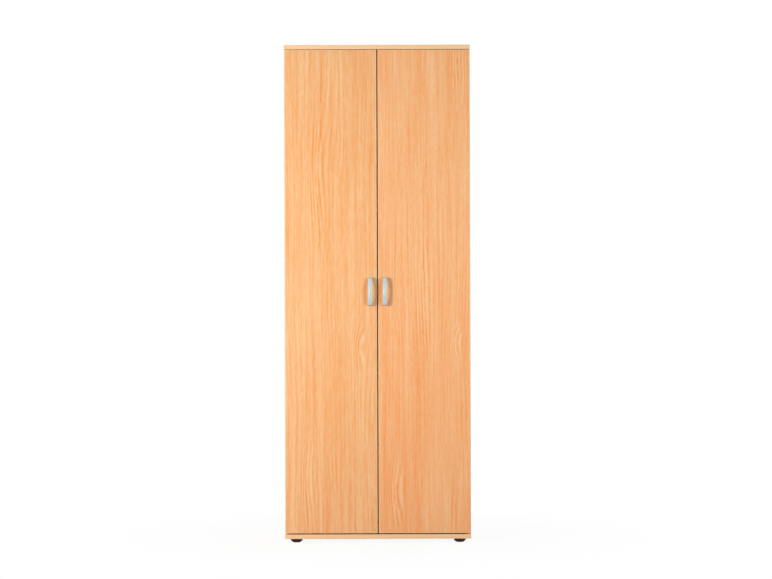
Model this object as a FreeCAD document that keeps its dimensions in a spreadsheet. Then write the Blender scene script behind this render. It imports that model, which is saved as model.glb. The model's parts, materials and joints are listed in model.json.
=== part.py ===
import FreeCAD, Part
import math
import os
import Sketcher

# Tall two-door office cupboard: a board carcass on four levelling feet, five shelves,
# two full-height doors on concealed cup hinges and a bow handle on each door.
# Millimetres, +Z up, the doors face -Y, the origin lies on the floor at the middle of the outer box.

# Driving sizes in millimetres
SIZES = {
    # Carcass
    "cabinet_width": 800,
    "cabinet_depth": 400,
    "board": 19,
    "edge_band": 2,
    "bay_height": 332,
    "back_thickness": 8,
    "back_inset": 12,
    "groove_depth": 7,
    "groove_play": 0.2,
    "cut_overrun": 1,
    # Shelves and their pins
    "shelf_setback": 20,
    "shelf_play": 0.5,
    "pin_radius": 2.5,
    "pin_length": 16,
    "pin_depth": 8,
    "pin_inset": 37,
    "pin_play": 0.05,
    "pin_rest_gap": 0.1,
    # Dowels of the carcass joints
    "dowel_radius": 4,
    "dowel_length": 30,
    "dowel_face_depth": 11,
    "dowel_inset": 62,
    "dowel_play": 0.05,
    "dowel_end_play": 0.5,
    # Doors
    "door_side_reveal": 2.5,
    "door_centre_gap": 5,
    "door_top_gap": 2.5,
    "door_bottom_gap": 5,
    "door_back_gap": 2,
    # Levelling feet
    "foot_height": 18.5,
    "foot_side_inset": 47.5,
    "foot_end_inset": 52,
    "glide_top_radius": 25.5,
    "glide_bottom_radius": 16,
    "glide_rim": 10.5,
    "glide_play": 0.3,
    "spindle_radius": 5,
    "spindle_play": 0.05,
    "spindle_recess": 3,
    "socket_radius": 8,
    "socket_play": 0.05,
    # Bow handles
    "handle_length": 121,
    "handle_projection": 28,
    "handle_strap": 3.5,
    "handle_seat": 12,
    "handle_leg_lean": 0.3,
    "handle_outer_leg": 14.5,
    "handle_outer_shoulder": 20.5,
    "handle_outer_run": 5,
    "handle_outer_radius": 6.2,
    "handle_inner_leg": 11,
    "handle_inner_shoulder": 17,
    "handle_inner_run": 5,
    "handle_inner_radius": 6.2,
    "handle_end_width": 18,
    "handle_waist_width": 14.5,
    "handle_edge_offset": 28.5,
    # Concealed hinges
    "hinge_end_offset": 110,
    "middle_hinge_rise": 112,
    "cup_radius": 17.5,
    "cup_depth": 13,
    "cup_wall": 0.8,
    "cup_centre_out": 6,
    "cup_play": 0.05,
    "cup_notch_depth": 4.5,
    "cup_notch_half_width": 6.5,
    "flange_thickness": 1,
    "flange_rim": 1.5,
    "flange_wing_length": 28,
    "flange_wing_width": 15,
    "lug_thickness": 0.8,
    "lug_margin": 2,
    "arm_pivot_out": 15.3,
    "arm_pivot_ahead": 8.5,
    "rear_pivot_out": 15.8,
    "rear_pivot_ahead": 1.2,
    "cup_pivot_back": 11.1,
    "cup_pivot_depth": 7.6,
    "slot_pivot_back": 10.9,
    "slot_pivot_depth": 3.1,
    "pivot_radius": 1.25,
    "pivot_play": 0.05,
    "layer_gap": 0.3,
    "outer_link_end_radius": 2.4,
    "outer_link_half_width": 1.5,
    "outer_link_bend": 2.6,
    "outer_link_plate": 1.5,
    "outer_link_web": 1,
    "outer_link_web_reach": 4,
    "inner_link_thickness": 3.6,
    "inner_link_end_radius": 2.4,
    "inner_link_waist_reach": 8,
    "inner_link_waist_rise": 1.6,
    "inner_link_bend_rise": 0.8,
    "inner_link_bend_width": 2.6,
    "inner_link_bend_back": 2,
    "slot_start": 19.4,
    "slot_end": 23.2,
    "slot_play": 0.7,
    "slot_wall": 1,
    "arm_plate": 1.2,
    "arm_side_gap": 0.5,
    "arm_nose_radius": 2.8,
    "arm_height": 20.6,
    "arm_length": 58,
    "arm_shoulder": 14,
    "arm_underside": 4,
    "arm_web_ahead": 4,
    "plate_thickness": 2.2,
    "plate_setback": 37,
    "plate_wing_length": 26,
    "plate_wing_width": 16,
    "plate_rail_start": 20,
    "plate_rail_gap": 0.3,
}

# Counts and shares
BAY_COUNT = 6
PIN_SIDES = 12
LINK_END_SIDES = 6
CUP_SIDES = 24
GLIDE_SIDES = 36
KNEE_SHARE = 0.51
FLAT_LIMIT = 0.001


class Size:
    """A size that carries its value and the formula that gives it in the sheet."""

    def __init__(self, value, formula):
        self.value = value
        self.formula = formula

    @staticmethod
    def of(other):
        return other if isinstance(other, Size) else Size(other, repr(other))

    def __add__(self, other):
        other = Size.of(other)
        return Size(self.value + other.value, "(%s + %s)" % (self.formula, other.formula))

    def __sub__(self, other):
        other = Size.of(other)
        return Size(self.value - other.value, "(%s - %s)" % (self.formula, other.formula))

    def __mul__(self, other):
        other = Size.of(other)
        return Size(self.value * other.value, "(%s * %s)" % (self.formula, other.formula))

    def __truediv__(self, other):
        other = Size.of(other)
        return Size(self.value / other.value, "(%s / %s)" % (self.formula, other.formula))

    def __neg__(self):
        return Size(-self.value, "(-1 * %s)" % self.formula)

    __radd__ = __add__
    __rmul__ = __mul__


ZERO = Size(0, "0")


def distance(across, along):
    value = math.hypot(across.value, along.value)
    return Size(value, "hypot(%s; %s)" % (across.formula, along.formula))


def direction(across, along):
    """The angle in degrees of the line that runs this far across and along."""
    value = math.degrees(math.atan2(along.value, across.value))
    return Size(value, "atan2(%s; %s)" % (along.formula, across.formula))


def circle_height(radius, across):
    """How far a circle reaches beside its centre, this far across."""
    value = math.sqrt(radius.value ** 2 - across.value ** 2)
    formula = "sqrt(%s * %s - %s * %s)"
    return Size(value, formula % (radius.formula, radius.formula, across.formula, across.formula))


def arc_radius(chord, rise):
    """Radius of the arc with this chord and rise."""
    value = (chord.value ** 2 / 4 + rise.value ** 2) / (2 * rise.value)
    formula = "((%s * %s / 4 + %s * %s) / (2 * %s))"
    parts = (chord.formula, chord.formula, rise.formula, rise.formula, rise.formula)
    return Size(value, formula % parts)


document = FreeCAD.newDocument("Cupboard")
sheet = document.addObject("Spreadsheet::Sheet", "Sizes")
S = {}
for row, (alias, number) in enumerate(SIZES.items(), start=1):
    sheet.set("A%d" % row, alias.replace("_", " "))
    sheet.set("B%d" % row, str(number))
    sheet.setAlias("B%d" % row, alias)
    S[alias] = Size(number, "Sizes." + alias)
document.recompute()


# Sketching and feature helpers
def bind(item, path, size):
    item.setExpression(path, Size.of(size).formula)


def new_body(name):
    body = document.addObject("PartDesign::Body", name)
    body.Label = name
    body.AllowCompound = True
    return body


def put(body, x=ZERO, y=ZERO, z=ZERO, half_turn=False):
    """Place a body; with half_turn it is turned round by half a turn about Y."""
    if half_turn:
        body.Placement.Rotation = FreeCAD.Rotation(FreeCAD.Vector(0, 1, 0), 180)
    bind(body, "Placement.Base.x", x)
    bind(body, "Placement.Base.y", y)
    bind(body, "Placement.Base.z", z)


def new_sketch(body, plane, name, offset=ZERO, origin=(ZERO, ZERO), turn=None):
    """A sketch on a plane of the body's origin, raised along the plane's normal."""
    sketch = body.newObject("Sketcher::SketchObject", name)
    support = [item for item in body.Origin.OriginFeatures if item.Role == plane + "_Plane"][0]
    sketch.AttachmentSupport = [(support, "")]
    sketch.MapMode = "FlatFace"
    bind(sketch, "AttachmentOffset.Base.x", origin[0])
    bind(sketch, "AttachmentOffset.Base.y", origin[1])
    bind(sketch, "AttachmentOffset.Base.z", offset)
    if turn is not None:
        bind(sketch, "AttachmentOffset.Rotation.Angle", turn)
    return sketch


def hold(sketch, fixed):
    """Add constraints in one go; each comes with the size that drives it, or with nothing."""
    indexes = sketch.addConstraint([constraint for constraint, size in fixed])
    for index, (constraint, size) in zip(indexes, fixed):
        if size is not None:
            bind(sketch, "Constraints[%d]" % index, size)


def at(geometry, point, x, y):
    """The two constraints that hold a point at x, y from the sketch's origin."""
    return [
        (Sketcher.Constraint("DistanceX", -1, 1, geometry, point, x.value), x),
        (Sketcher.Constraint("DistanceY", -1, 1, geometry, point, y.value), y)]


def corner(point):
    return FreeCAD.Vector(point[0].value, point[1].value, 0)


def arc_through(start, end, radius):
    """The arc of this radius from start to end; a positive radius bulges to the right of the way."""
    a, b = corner(start), corner(end)
    chord = b - a
    size = abs(radius.value)
    across = FreeCAD.Vector(chord.y, -chord.x, 0)
    across.normalize()
    inward = math.sqrt(max(size ** 2 - (chord.Length / 2) ** 2, 0))
    side = 1 if radius.value > 0 else -1
    middle = (a + b) * 0.5 + across * side * (size - inward)
    return Part.Arc(a, middle, b) if side > 0 else Part.Arc(b, middle, a)


def starts_at(edge, point):
    return edge.StartPoint.distanceToPoint(corner(point)) < edge.EndPoint.distanceToPoint(corner(point))


def add_outline(sketch, points):
    """A closed outline of points (x, y); a third value is the radius of an arc to that point."""
    count = len(points)
    first = sketch.GeometryCount
    edges = []
    for index in range(count):
        start, end = points[index], points[(index + 1) % count]
        if len(end) == 3:
            edges.append(arc_through(start, end, end[2]))
        else:
            edges.append(Part.LineSegment(corner(start), corner(end)))
    sketch.addGeometry(edges, False)
    ends = [(1, 2) if starts_at(edge, point) else (2, 1) for edge, point in zip(edges, points)]
    fixed = []
    for index, point in enumerate(points):
        before = (index - 1) % count
        joint = Sketcher.Constraint(
            "Coincident", first + before, ends[before][1], first + index, ends[index][0])
        fixed.append((joint, None))
        fixed += at(first + index, ends[index][0], point[0], point[1])
        if len(point) == 3:
            size = point[2] if point[2].value > 0 else -point[2]
            fixed.append((Sketcher.Constraint("Radius", first + before, size.value), size))
    hold(sketch, fixed)


def round_points(x, y, radius, sides, start=0, turn=360):
    """Points round a centre, from one angle through a turn, both in degrees."""
    count = sides if turn == 360 else sides + 1
    angles = [math.radians(start + turn * step / sides) for step in range(count)]
    return [(x + radius * math.cos(angle), y + radius * math.sin(angle)) for angle in angles]


def add_pin_outline(sketch, x, y, radius, sides=PIN_SIDES):
    """A regular outline of many sides, for a pin: its corners lie on the radius."""
    centre = FreeCAD.Vector(x.value, y.value, 0)
    ring = sketch.addGeometry(Part.Circle(centre, FreeCAD.Vector(0, 0, 1), radius.value), True)
    corners = [corner(point) for point in round_points(x, y, radius, sides)]
    first = sketch.GeometryCount
    sides_around = zip(corners, corners[1:] + corners[:1])
    sketch.addGeometry([Part.LineSegment(start, end) for start, end in sides_around], False)
    fixed = at(ring, 3, x, y)
    fixed.append((Sketcher.Constraint("Radius", ring, radius.value), radius))
    fixed.append((Sketcher.Constraint("Horizontal", ring, 3, first, 1), None))
    for side in range(first, first + sides):
        following = side + 1 if side < first + sides - 1 else first
        fixed.append((Sketcher.Constraint("Coincident", side, 2, following, 1), None))
        fixed.append((Sketcher.Constraint("PointOnObject", side, 1, ring), None))
        if side > first:
            fixed.append((Sketcher.Constraint("Equal", first, side), None))
    hold(sketch, fixed)


def add_hole_outline(sketch, x, y, radius, sides=PIN_SIDES):
    """A regular outline of many sides, for a hole: its sides touch the radius."""
    add_pin_outline(sketch, x, y, radius / math.cos(math.pi / sides), sides)


def add_rectangle(sketch, low_x, low_y, high_x, high_y):
    add_outline(sketch, [(low_x, low_y), (high_x, low_y), (high_x, high_y), (low_x, high_y)])


def pad(body, sketch, length, backwards=False):
    feature = body.newObject("PartDesign::Pad", sketch.Name + "_pad")
    feature.Profile = sketch
    feature.Reversed = backwards
    bind(feature, "Length", length)
    return feature


def pocket(body, sketch, length, forwards=False):
    """Cut against the sketch's normal, or along it where forwards is set."""
    document.recompute()
    before = body.Shape.Volume
    feature = body.newObject("PartDesign::Pocket", sketch.Name + "_cut")
    feature.Profile = sketch
    feature.Reversed = forwards
    bind(feature, "Length", length)
    document.recompute()
    if body.Shape.Volume >= before:
        raise RuntimeError(sketch.Name + " cuts nothing")
    return feature


def board_body(name, low, high):
    """A plain board between two opposite corners, each a triple of sizes."""
    body = new_body(name)
    sketch = new_sketch(body, "XY", name + "_outline", low[2])
    add_rectangle(sketch, low[0], low[1], high[0], high[1])
    pad(body, sketch, high[2] - low[2])
    return body


# Places that many pieces share
half_width = S["cabinet_width"] / 2
inner_x = half_width - S["board"]
front_y = (S["handle_projection"] - S["cabinet_depth"]) / 2
rear_y = front_y + S["cabinet_depth"]
door_rear_y = front_y + S["board"]
side_front_y = door_rear_y + S["door_back_gap"]
back_rear_y = rear_y - S["back_inset"]
back_front_y = back_rear_y - S["back_thickness"]
bottom_low_z = S["foot_height"]
floor_z = bottom_low_z + S["board"]
pitch = S["bay_height"] + S["board"]
ceiling_z = floor_z + pitch * BAY_COUNT - S["board"]
top_high_z = ceiling_z + S["board"]
shelf_front_y = side_front_y + S["shelf_setback"]
dowel_rows = (side_front_y + S["dowel_inset"], back_front_y - S["dowel_inset"])
middle_level = BAY_COUNT // 2
door_low_z = floor_z + S["door_bottom_gap"]
door_high_z = ceiling_z - S["door_top_gap"]
door_middle_z = (door_low_z + door_high_z) / 2
door_outer_x = half_width - S["door_side_reveal"]
door_inner_x = S["door_centre_gap"] / 2
handle_x = door_inner_x + S["handle_edge_offset"]
foot_places = [
    (side * (half_width - S["foot_side_inset"]), y)
    for side in (-1, 1)
    for y in (front_y + S["foot_end_inset"], rear_y - S["foot_end_inset"])
]


def shelf_low_z(level):
    return floor_z + pitch * level - S["board"]


pin_levels = [level for level in range(1, BAY_COUNT) if level != middle_level]
pin_rows = (side_front_y + S["pin_inset"], back_front_y - S["pin_inset"])
pin_centres = [
    (y, shelf_low_z(level) - S["pin_radius"] - S["pin_rest_gap"])
    for level in pin_levels for y in pin_rows]
dowel_x = inner_x + S["board"] / 2
dowel_edge_part = S["dowel_length"] - S["dowel_face_depth"]
end_dowel_centres = [(side * dowel_x, y) for side in (-1, 1) for y in dowel_rows]
shelf_dowel_centres = [(y, shelf_low_z(middle_level) + S["board"] / 2) for y in dowel_rows]


# Carcass boards
def cut_groove(body, plane, name, offset, low_x, high_x, forwards):
    """A groove for the back panel, cut into a board's face."""
    sketch = new_sketch(body, plane, name, offset)
    play = S["groove_play"]
    if plane == "YZ":
        add_rectangle(sketch, back_front_y - play, low_x, back_rear_y + play, high_x)
    else:
        add_rectangle(sketch, low_x, back_front_y - play, high_x, back_rear_y + play)
    pocket(body, sketch, S["groove_depth"] + play, forwards)


def cut_holes(body, plane, name, offset, centres, radius, depth, forwards=False):
    sketch = new_sketch(body, plane, name, offset)
    for x, y in centres:
        add_hole_outline(sketch, x, y, radius)
    pocket(body, sketch, depth, forwards)


def make_end_panel(name, low_z, inner_face_z, upwards):
    """The top or bottom panel, with the groove and the dowel holes in its inner face."""
    body = board_body(
        name,
        (-half_width, front_y + S["edge_band"], low_z),
        (half_width, rear_y, low_z + S["board"]))
    cut_groove(body, "XY", name + "_groove", inner_face_z,
               -(inner_x + S["groove_depth"]), inner_x + S["groove_depth"], upwards)
    cut_holes(body, "XY", name + "_dowel_holes", inner_face_z, end_dowel_centres,
              S["dowel_radius"] + S["dowel_play"], S["dowel_face_depth"] + S["dowel_end_play"], upwards)
    return body


make_end_panel("top_panel", ceiling_z, ceiling_z, True)
bottom_panel = make_end_panel("bottom_panel", bottom_low_z, floor_z, False)
cut_holes(bottom_panel, "XY", "foot_holes", floor_z + S["cut_overrun"], foot_places,
          S["socket_radius"] + S["socket_play"], S["board"] + S["cut_overrun"] * 2)


def make_side_panel(name, side):
    """A side panel between the end panels, drilled for pins and dowels and grooved at the back."""
    outer, inner = side * half_width, side * inner_x
    low_x, high_x = (outer, inner) if side < 0 else (inner, outer)
    body = board_body(
        name,
        (low_x, side_front_y + S["edge_band"], floor_z),
        (high_x, rear_y, ceiling_z))
    outwards = side > 0
    cut_groove(body, "YZ", name + "_groove", inner,
               floor_z - S["cut_overrun"], ceiling_z + S["cut_overrun"], outwards)
    cut_holes(body, "YZ", name + "_pin_holes", inner, pin_centres,
              S["pin_radius"] + S["pin_play"], S["pin_depth"] + S["cut_overrun"], outwards)
    dowel_radius = S["dowel_radius"] + S["dowel_play"]
    edge_depth = dowel_edge_part + S["dowel_end_play"]
    edge_centres = [(side * dowel_x, y) for y in dowel_rows]
    cut_holes(body, "XY", name + "_top_dowel_holes", ceiling_z, edge_centres, dowel_radius, edge_depth)
    cut_holes(body, "XY", name + "_bottom_dowel_holes", floor_z, edge_centres,
              dowel_radius, edge_depth, True)
    cut_holes(body, "YZ", name + "_shelf_dowel_holes", inner, shelf_dowel_centres, dowel_radius,
              S["dowel_face_depth"] + S["dowel_end_play"], outwards)


make_side_panel("left_side_panel", -1)
make_side_panel("right_side_panel", 1)

back_reach_x = inner_x + S["groove_depth"]
board_body(
    "back_panel",
    (-back_reach_x, back_front_y, floor_z - S["groove_depth"]),
    (back_reach_x, back_rear_y, ceiling_z + S["groove_depth"]))

shelf_rear_y = back_front_y - S["shelf_play"]


def make_fixed_shelf():
    """The middle shelf, doweled between the side panels."""
    low_z = shelf_low_z(middle_level)
    body = board_body(
        "fixed_shelf",
        (-inner_x, shelf_front_y + S["edge_band"], low_z),
        (inner_x, shelf_rear_y, low_z + S["board"]))
    depth = dowel_edge_part + S["dowel_end_play"]
    radius = S["dowel_radius"] + S["dowel_play"]
    cut_holes(body, "YZ", "fixed_shelf_right_holes", inner_x, shelf_dowel_centres, radius, depth)
    cut_holes(body, "YZ", "fixed_shelf_left_holes", -inner_x, shelf_dowel_centres, radius, depth, True)


make_fixed_shelf()
shelf_half_width = inner_x - S["shelf_play"]
for number, level in enumerate(pin_levels, start=1):
    board_body(
        "shelf_%d" % number,
        (-shelf_half_width, shelf_front_y + S["edge_band"], shelf_low_z(level)),
        (shelf_half_width, shelf_rear_y, shelf_low_z(level) + S["board"]))


# Edging on the front edges of the boards
def edging_strip(body, name, low, high):
    sketch = new_sketch(body, "XY", name, low[2])
    add_rectangle(sketch, low[0], low[1], high[0], high[1])
    pad(body, sketch, high[2] - low[2])


end_edging_y = front_y + S["edge_band"]
for name, low_z in (("top_panel_edging", ceiling_z), ("bottom_panel_edging", bottom_low_z)):
    board_body(name, (-half_width, front_y, low_z), (half_width, end_edging_y, low_z + S["board"]))

side_edging = new_body("side_panel_edgings")
for label, low_x, high_x in (("left", -half_width, -inner_x), ("right", inner_x, half_width)):
    edging_strip(side_edging, label + "_side_edging",
                 (low_x, side_front_y, floor_z), (high_x, side_front_y + S["edge_band"], ceiling_z))

shelf_edging = new_body("shelf_edgings")
for level in range(1, BAY_COUNT):
    reach = inner_x if level == middle_level else shelf_half_width
    low_z = shelf_low_z(level)
    edging_strip(shelf_edging, "shelf_edging_%d" % level,
                 (-reach, shelf_front_y, low_z), (reach, shelf_front_y + S["edge_band"], low_z + S["board"]))


# Dowels and shelf pins
def add_rods(body, plane, name, offset, centres, radius, length):
    """Round rods that start this far along the plane's normal."""
    sketch = new_sketch(body, plane, name, offset)
    for x, y in centres:
        add_pin_outline(sketch, x, y, radius)
    pad(body, sketch, length)


dowels = new_body("dowels")
add_rods(dowels, "XY", "top_dowels", ceiling_z - dowel_edge_part, end_dowel_centres,
         S["dowel_radius"], S["dowel_length"])
add_rods(dowels, "XY", "bottom_dowels", floor_z - S["dowel_face_depth"], end_dowel_centres,
         S["dowel_radius"], S["dowel_length"])
add_rods(dowels, "YZ", "right_shelf_dowels", inner_x - dowel_edge_part, shelf_dowel_centres,
         S["dowel_radius"], S["dowel_length"])
add_rods(dowels, "YZ", "left_shelf_dowels", -inner_x - S["dowel_face_depth"], shelf_dowel_centres,
         S["dowel_radius"], S["dowel_length"])

shelf_pins = new_body("shelf_pins")
add_rods(shelf_pins, "YZ", "left_pins", -inner_x - S["pin_depth"], pin_centres,
         S["pin_radius"], S["pin_length"])
add_rods(shelf_pins, "YZ", "right_pins", inner_x + S["pin_depth"] - S["pin_length"], pin_centres,
         S["pin_radius"], S["pin_length"])


# Levelling feet
foot_sockets = new_body("foot_sockets")
socket_sketch = new_sketch(foot_sockets, "XY", "socket_rings", bottom_low_z)
for x, y in foot_places:
    add_pin_outline(socket_sketch, x, y, S["socket_radius"])
    add_hole_outline(socket_sketch, x, y, S["spindle_radius"] + S["spindle_play"])
pad(foot_sockets, socket_sketch, S["board"])


def face_names(shape, z):
    """The names of the faces whose middle lies at this height."""
    return [
        "Face%d" % number for number, face in enumerate(shape.Faces, start=1)
        if abs(face.CenterOfMass.z - z.value) < FLAT_LIMIT]


def make_foot(name, x, y):
    """A glide with a tapered skirt, an upright rim and a spindle, on its own axis."""
    body = new_body(name)
    glide_top = S["foot_height"] - S["glide_play"]
    skirt_height = glide_top - S["glide_rim"]
    skirt = new_sketch(body, "XY", name + "_skirt")
    add_pin_outline(skirt, ZERO, ZERO, S["glide_top_radius"], GLIDE_SIDES)
    upright = pad(body, skirt, skirt_height)
    document.recompute()
    taper = body.newObject("PartDesign::Draft", name + "_taper")
    taper.Base = (upright, face_names(upright.Shape, skirt_height / 2))
    taper.NeutralPlane = (upright, face_names(upright.Shape, skirt_height))
    taper.Reversed = True
    overhang = (S["glide_top_radius"] - S["glide_bottom_radius"]) * math.cos(math.pi / GLIDE_SIDES)
    bind(taper, "Angle", direction(skirt_height, overhang))
    rim = new_sketch(body, "XY", name + "_rim", skirt_height)
    add_pin_outline(rim, ZERO, ZERO, S["glide_top_radius"], GLIDE_SIDES)
    pad(body, rim, S["glide_rim"])
    spindle = new_sketch(body, "XY", name + "_spindle", glide_top)
    add_pin_outline(spindle, ZERO, ZERO, S["spindle_radius"])
    pad(body, spindle, S["foot_height"] + S["board"] - S["spindle_recess"] - glide_top)
    put(body, x, y)


foot_names = ("left_front_foot", "left_rear_foot", "right_front_foot", "right_rear_foot")
for name, (x, y) in zip(foot_names, foot_places):
    make_foot(name, x, y)


# Hinges, each in its own frame: x runs from the side panel's inner face into the opening,
# y from the side panel's front edge into the cupboard, z up from the floor.
# The right door's hinges are the same pieces, turned by half a turn about y, which turns z over.
rear_face_y = -S["door_back_gap"]
cup_x = S["cup_centre_out"]
arm_pivot = (S["arm_pivot_out"], -S["arm_pivot_ahead"])
rear_pivot = (S["rear_pivot_out"], -S["rear_pivot_ahead"])
cup_pivot = (cup_x - S["cup_pivot_back"], rear_face_y - S["cup_pivot_depth"])
slot_pivot = (cup_x - S["slot_pivot_back"], rear_face_y - S["slot_pivot_depth"])
inner_layer = S["inner_link_thickness"] / 2
lug_low = inner_layer + S["layer_gap"]
lug_middle = lug_low + S["lug_thickness"] / 2
lug_high = lug_low + S["lug_thickness"]
outer_low = lug_high + S["layer_gap"]
outer_high = outer_low + S["outer_link_plate"]
arm_low = outer_high + S["arm_side_gap"]
arm_middle = arm_low + S["arm_plate"] / 2
arm_high = arm_low + S["arm_plate"]
hole_radius = S["pivot_radius"] + S["pivot_play"]


def link_end(x, y, radius, start):
    """The rounded end of a link, arm or slot: half a turn from this angle."""
    return round_points(x, y, radius, LINK_END_SIDES, start, 180)


def add_rod(body, name, place, low_z, high_z):
    """A pivot pin along z."""
    sketch = new_sketch(body, "XY", name, low_z)
    add_pin_outline(sketch, place[0], place[1], S["pivot_radius"])
    pad(body, sketch, high_z - low_z)


def make_cup(body, name, z):
    """The pressed cup with its flange and notch, the two lugs in it and its pivot pins."""
    shell = new_sketch(body, "XZ", name + "_shell", S["cup_depth"] - rear_face_y)
    add_pin_outline(shell, cup_x, z, S["cup_radius"], CUP_SIDES)
    pad(body, shell, S["cup_depth"], True)
    disc = new_sketch(body, "XZ", name + "_rim", -rear_face_y)
    add_pin_outline(disc, cup_x, z, S["cup_radius"] + S["flange_rim"], CUP_SIDES)
    pad(body, disc, S["flange_thickness"], True)
    wings = new_sketch(body, "XZ", name + "_wings", -rear_face_y)
    half = S["flange_wing_width"] / 2
    reach = S["flange_wing_length"]
    add_rectangle(wings, cup_x - half, z - reach, cup_x + half, z + reach)
    pad(body, wings, S["flange_thickness"], True)
    hollow = new_sketch(body, "XZ", name + "_hollow", -rear_face_y - S["flange_thickness"])
    add_pin_outline(hollow, cup_x, z, S["cup_radius"] - S["cup_wall"], CUP_SIDES)
    pocket(body, hollow, S["cup_depth"] + S["flange_thickness"] - S["cup_wall"], True)
    notch = new_sketch(body, "XZ", name + "_notch", -rear_face_y - S["flange_thickness"])
    outside = cup_x - S["cup_radius"] - S["flange_rim"] - S["cut_overrun"]
    half_notch = S["cup_notch_half_width"]
    add_rectangle(notch, outside, z - half_notch, cup_x - S["cup_radius"] / 2, z + half_notch)
    pocket(body, notch, S["cup_notch_depth"] + S["flange_thickness"], True)
    floor_y = rear_face_y - S["cup_depth"] + S["cup_wall"] / 2
    margin = S["lug_margin"]
    for label, low_z in (("upper", lug_low), ("lower", -lug_high)):
        lug = new_sketch(body, "XY", name + "_" + label + "_lug", z + low_z)
        add_rectangle(lug, slot_pivot[0] - margin, floor_y, slot_pivot[0] + margin, slot_pivot[1] + margin)
        pad(body, lug, S["lug_thickness"])
    add_rod(body, name + "_slot_pin", slot_pivot, z - lug_middle, z + lug_middle)
    pin_side = S["cup_pivot_back"] + S["pivot_radius"]
    reach = circle_height(S["cup_radius"] - S["cup_wall"] / 2, pin_side)
    add_rod(body, name + "_upper_pin", cup_pivot, z + lug_middle, z + reach)
    add_rod(body, name + "_lower_pin", cup_pivot, z - reach, z - lug_middle)


def make_arm(body, name, z):
    """The channel arm with the two pivot pins across its nose."""
    profile = new_sketch(body, "XY", name + "_profile", z - arm_high)
    nose = S["arm_nose_radius"]
    add_outline(profile, link_end(arm_pivot[0], arm_pivot[1], nose, 180) + [
        (S["arm_height"], -S["arm_web_ahead"]),
        (S["arm_height"], S["arm_length"]),
        (S["arm_underside"], S["arm_length"]),
        (S["arm_underside"], S["arm_shoulder"]),
        (arm_pivot[0] - nose, ZERO)])
    pad(body, profile, arm_high * 2)
    channel = new_sketch(body, "XY", name + "_channel", z + arm_low)
    add_rectangle(channel, ZERO, arm_pivot[1] - nose - S["cut_overrun"],
                  S["arm_height"] - S["arm_plate"], S["arm_length"] + S["cut_overrun"])
    pocket(body, channel, arm_low * 2)
    add_rod(body, name + "_front_pin", arm_pivot, z - arm_middle, z + arm_middle)
    add_rod(body, name + "_rear_pin", rear_pivot, z - arm_middle, z + arm_middle)


def make_plate(body, name, z):
    """The cross-shaped mounting plate with the rail that the arm straddles."""
    wing = new_sketch(body, "YZ", name + "_wing")
    half = S["plate_wing_width"] / 2
    reach = S["plate_wing_length"]
    add_rectangle(wing, S["plate_setback"] - half, z - reach, S["plate_setback"] + half, z + reach)
    pad(body, wing, S["plate_thickness"])
    rail = new_sketch(body, "YZ", name + "_rail")
    half_rail = arm_low - S["layer_gap"]
    add_rectangle(rail, S["plate_rail_start"], z - half_rail, S["arm_length"], z + half_rail)
    pad(body, rail, S["arm_height"] - S["arm_plate"] - S["plate_rail_gap"])


def make_outer_link(body, name, z):
    """The stamped outer link: two bent plates, a web near the arm and holes for the two pins."""
    across, along = cup_pivot[0] - arm_pivot[0], cup_pivot[1] - arm_pivot[1]
    length = distance(across, along)
    turn = direction(across, along)
    radius = S["outer_link_end_radius"]
    knee = length * KNEE_SHARE
    low_side = S["outer_link_bend"] - S["outer_link_half_width"]
    high_side = S["outer_link_bend"] + S["outer_link_half_width"]
    outline = new_sketch(body, "XY", name + "_outline", z - outer_high, arm_pivot, turn)
    add_outline(outline, link_end(ZERO, ZERO, radius, 90) + [(knee, low_side)]
                + link_end(length, ZERO, radius, -90) + [(knee, high_side)])
    pad(body, outline, outer_high * 2)
    gap = new_sketch(body, "XY", name + "_gap", z + outer_low, arm_pivot, turn)
    beyond = radius + S["cut_overrun"]
    above = high_side + S["cut_overrun"]
    web_side = radius - S["outer_link_web"]
    add_outline(gap, [
        (-beyond, -beyond),
        (length + beyond, -beyond),
        (length + beyond, above),
        (S["outer_link_web_reach"], above),
        (S["outer_link_web_reach"], web_side),
        (-beyond, web_side)])
    pocket(body, gap, outer_low * 2)
    holes = new_sketch(body, "XY", name + "_holes", z + outer_high + S["cut_overrun"], arm_pivot, turn)
    add_hole_outline(holes, ZERO, ZERO, hole_radius)
    add_hole_outline(holes, length, ZERO, hole_radius)
    pocket(body, holes, (outer_high + S["cut_overrun"]) * 2)


def make_inner_link(body, name, z):
    """The bent inner link: a hole at the arm's rear pin and a slot round the cup's pin."""
    turn = direction(slot_pivot[0] - rear_pivot[0], slot_pivot[1] - rear_pivot[1])
    radius = S["inner_link_end_radius"]
    slot_half = S["pivot_radius"] + S["slot_play"]
    end = slot_half + S["slot_wall"]
    slot_low, slot_high = S["slot_start"], S["slot_end"]
    root = slot_low - end
    knee = root - S["inner_link_bend_back"]
    bend = S["inner_link_bend_rise"]
    outline = new_sketch(body, "XY", name + "_outline", z - inner_layer, rear_pivot, turn)
    add_outline(outline, link_end(ZERO, ZERO, radius, 90) + [
        (knee, bend),
        (root, bend / 2)]
        + round_points(slot_low, ZERO, end, 2, 225, 45)[:2]
        + link_end(slot_high, ZERO, end, -90) + [
        (slot_low, end),
        (knee, bend + S["inner_link_bend_width"]),
        (S["inner_link_waist_reach"], S["inner_link_waist_rise"])])
    pad(body, outline, S["inner_link_thickness"])
    cuts = new_sketch(body, "XY", name + "_cuts", z + inner_layer + S["cut_overrun"], rear_pivot, turn)
    add_hole_outline(cuts, ZERO, ZERO, hole_radius)
    add_outline(cuts, link_end(slot_high, ZERO, slot_half, -90) + link_end(slot_low, ZERO, slot_half, 90))
    pocket(body, cuts, S["inner_link_thickness"] + S["cut_overrun"] * 2)


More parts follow.
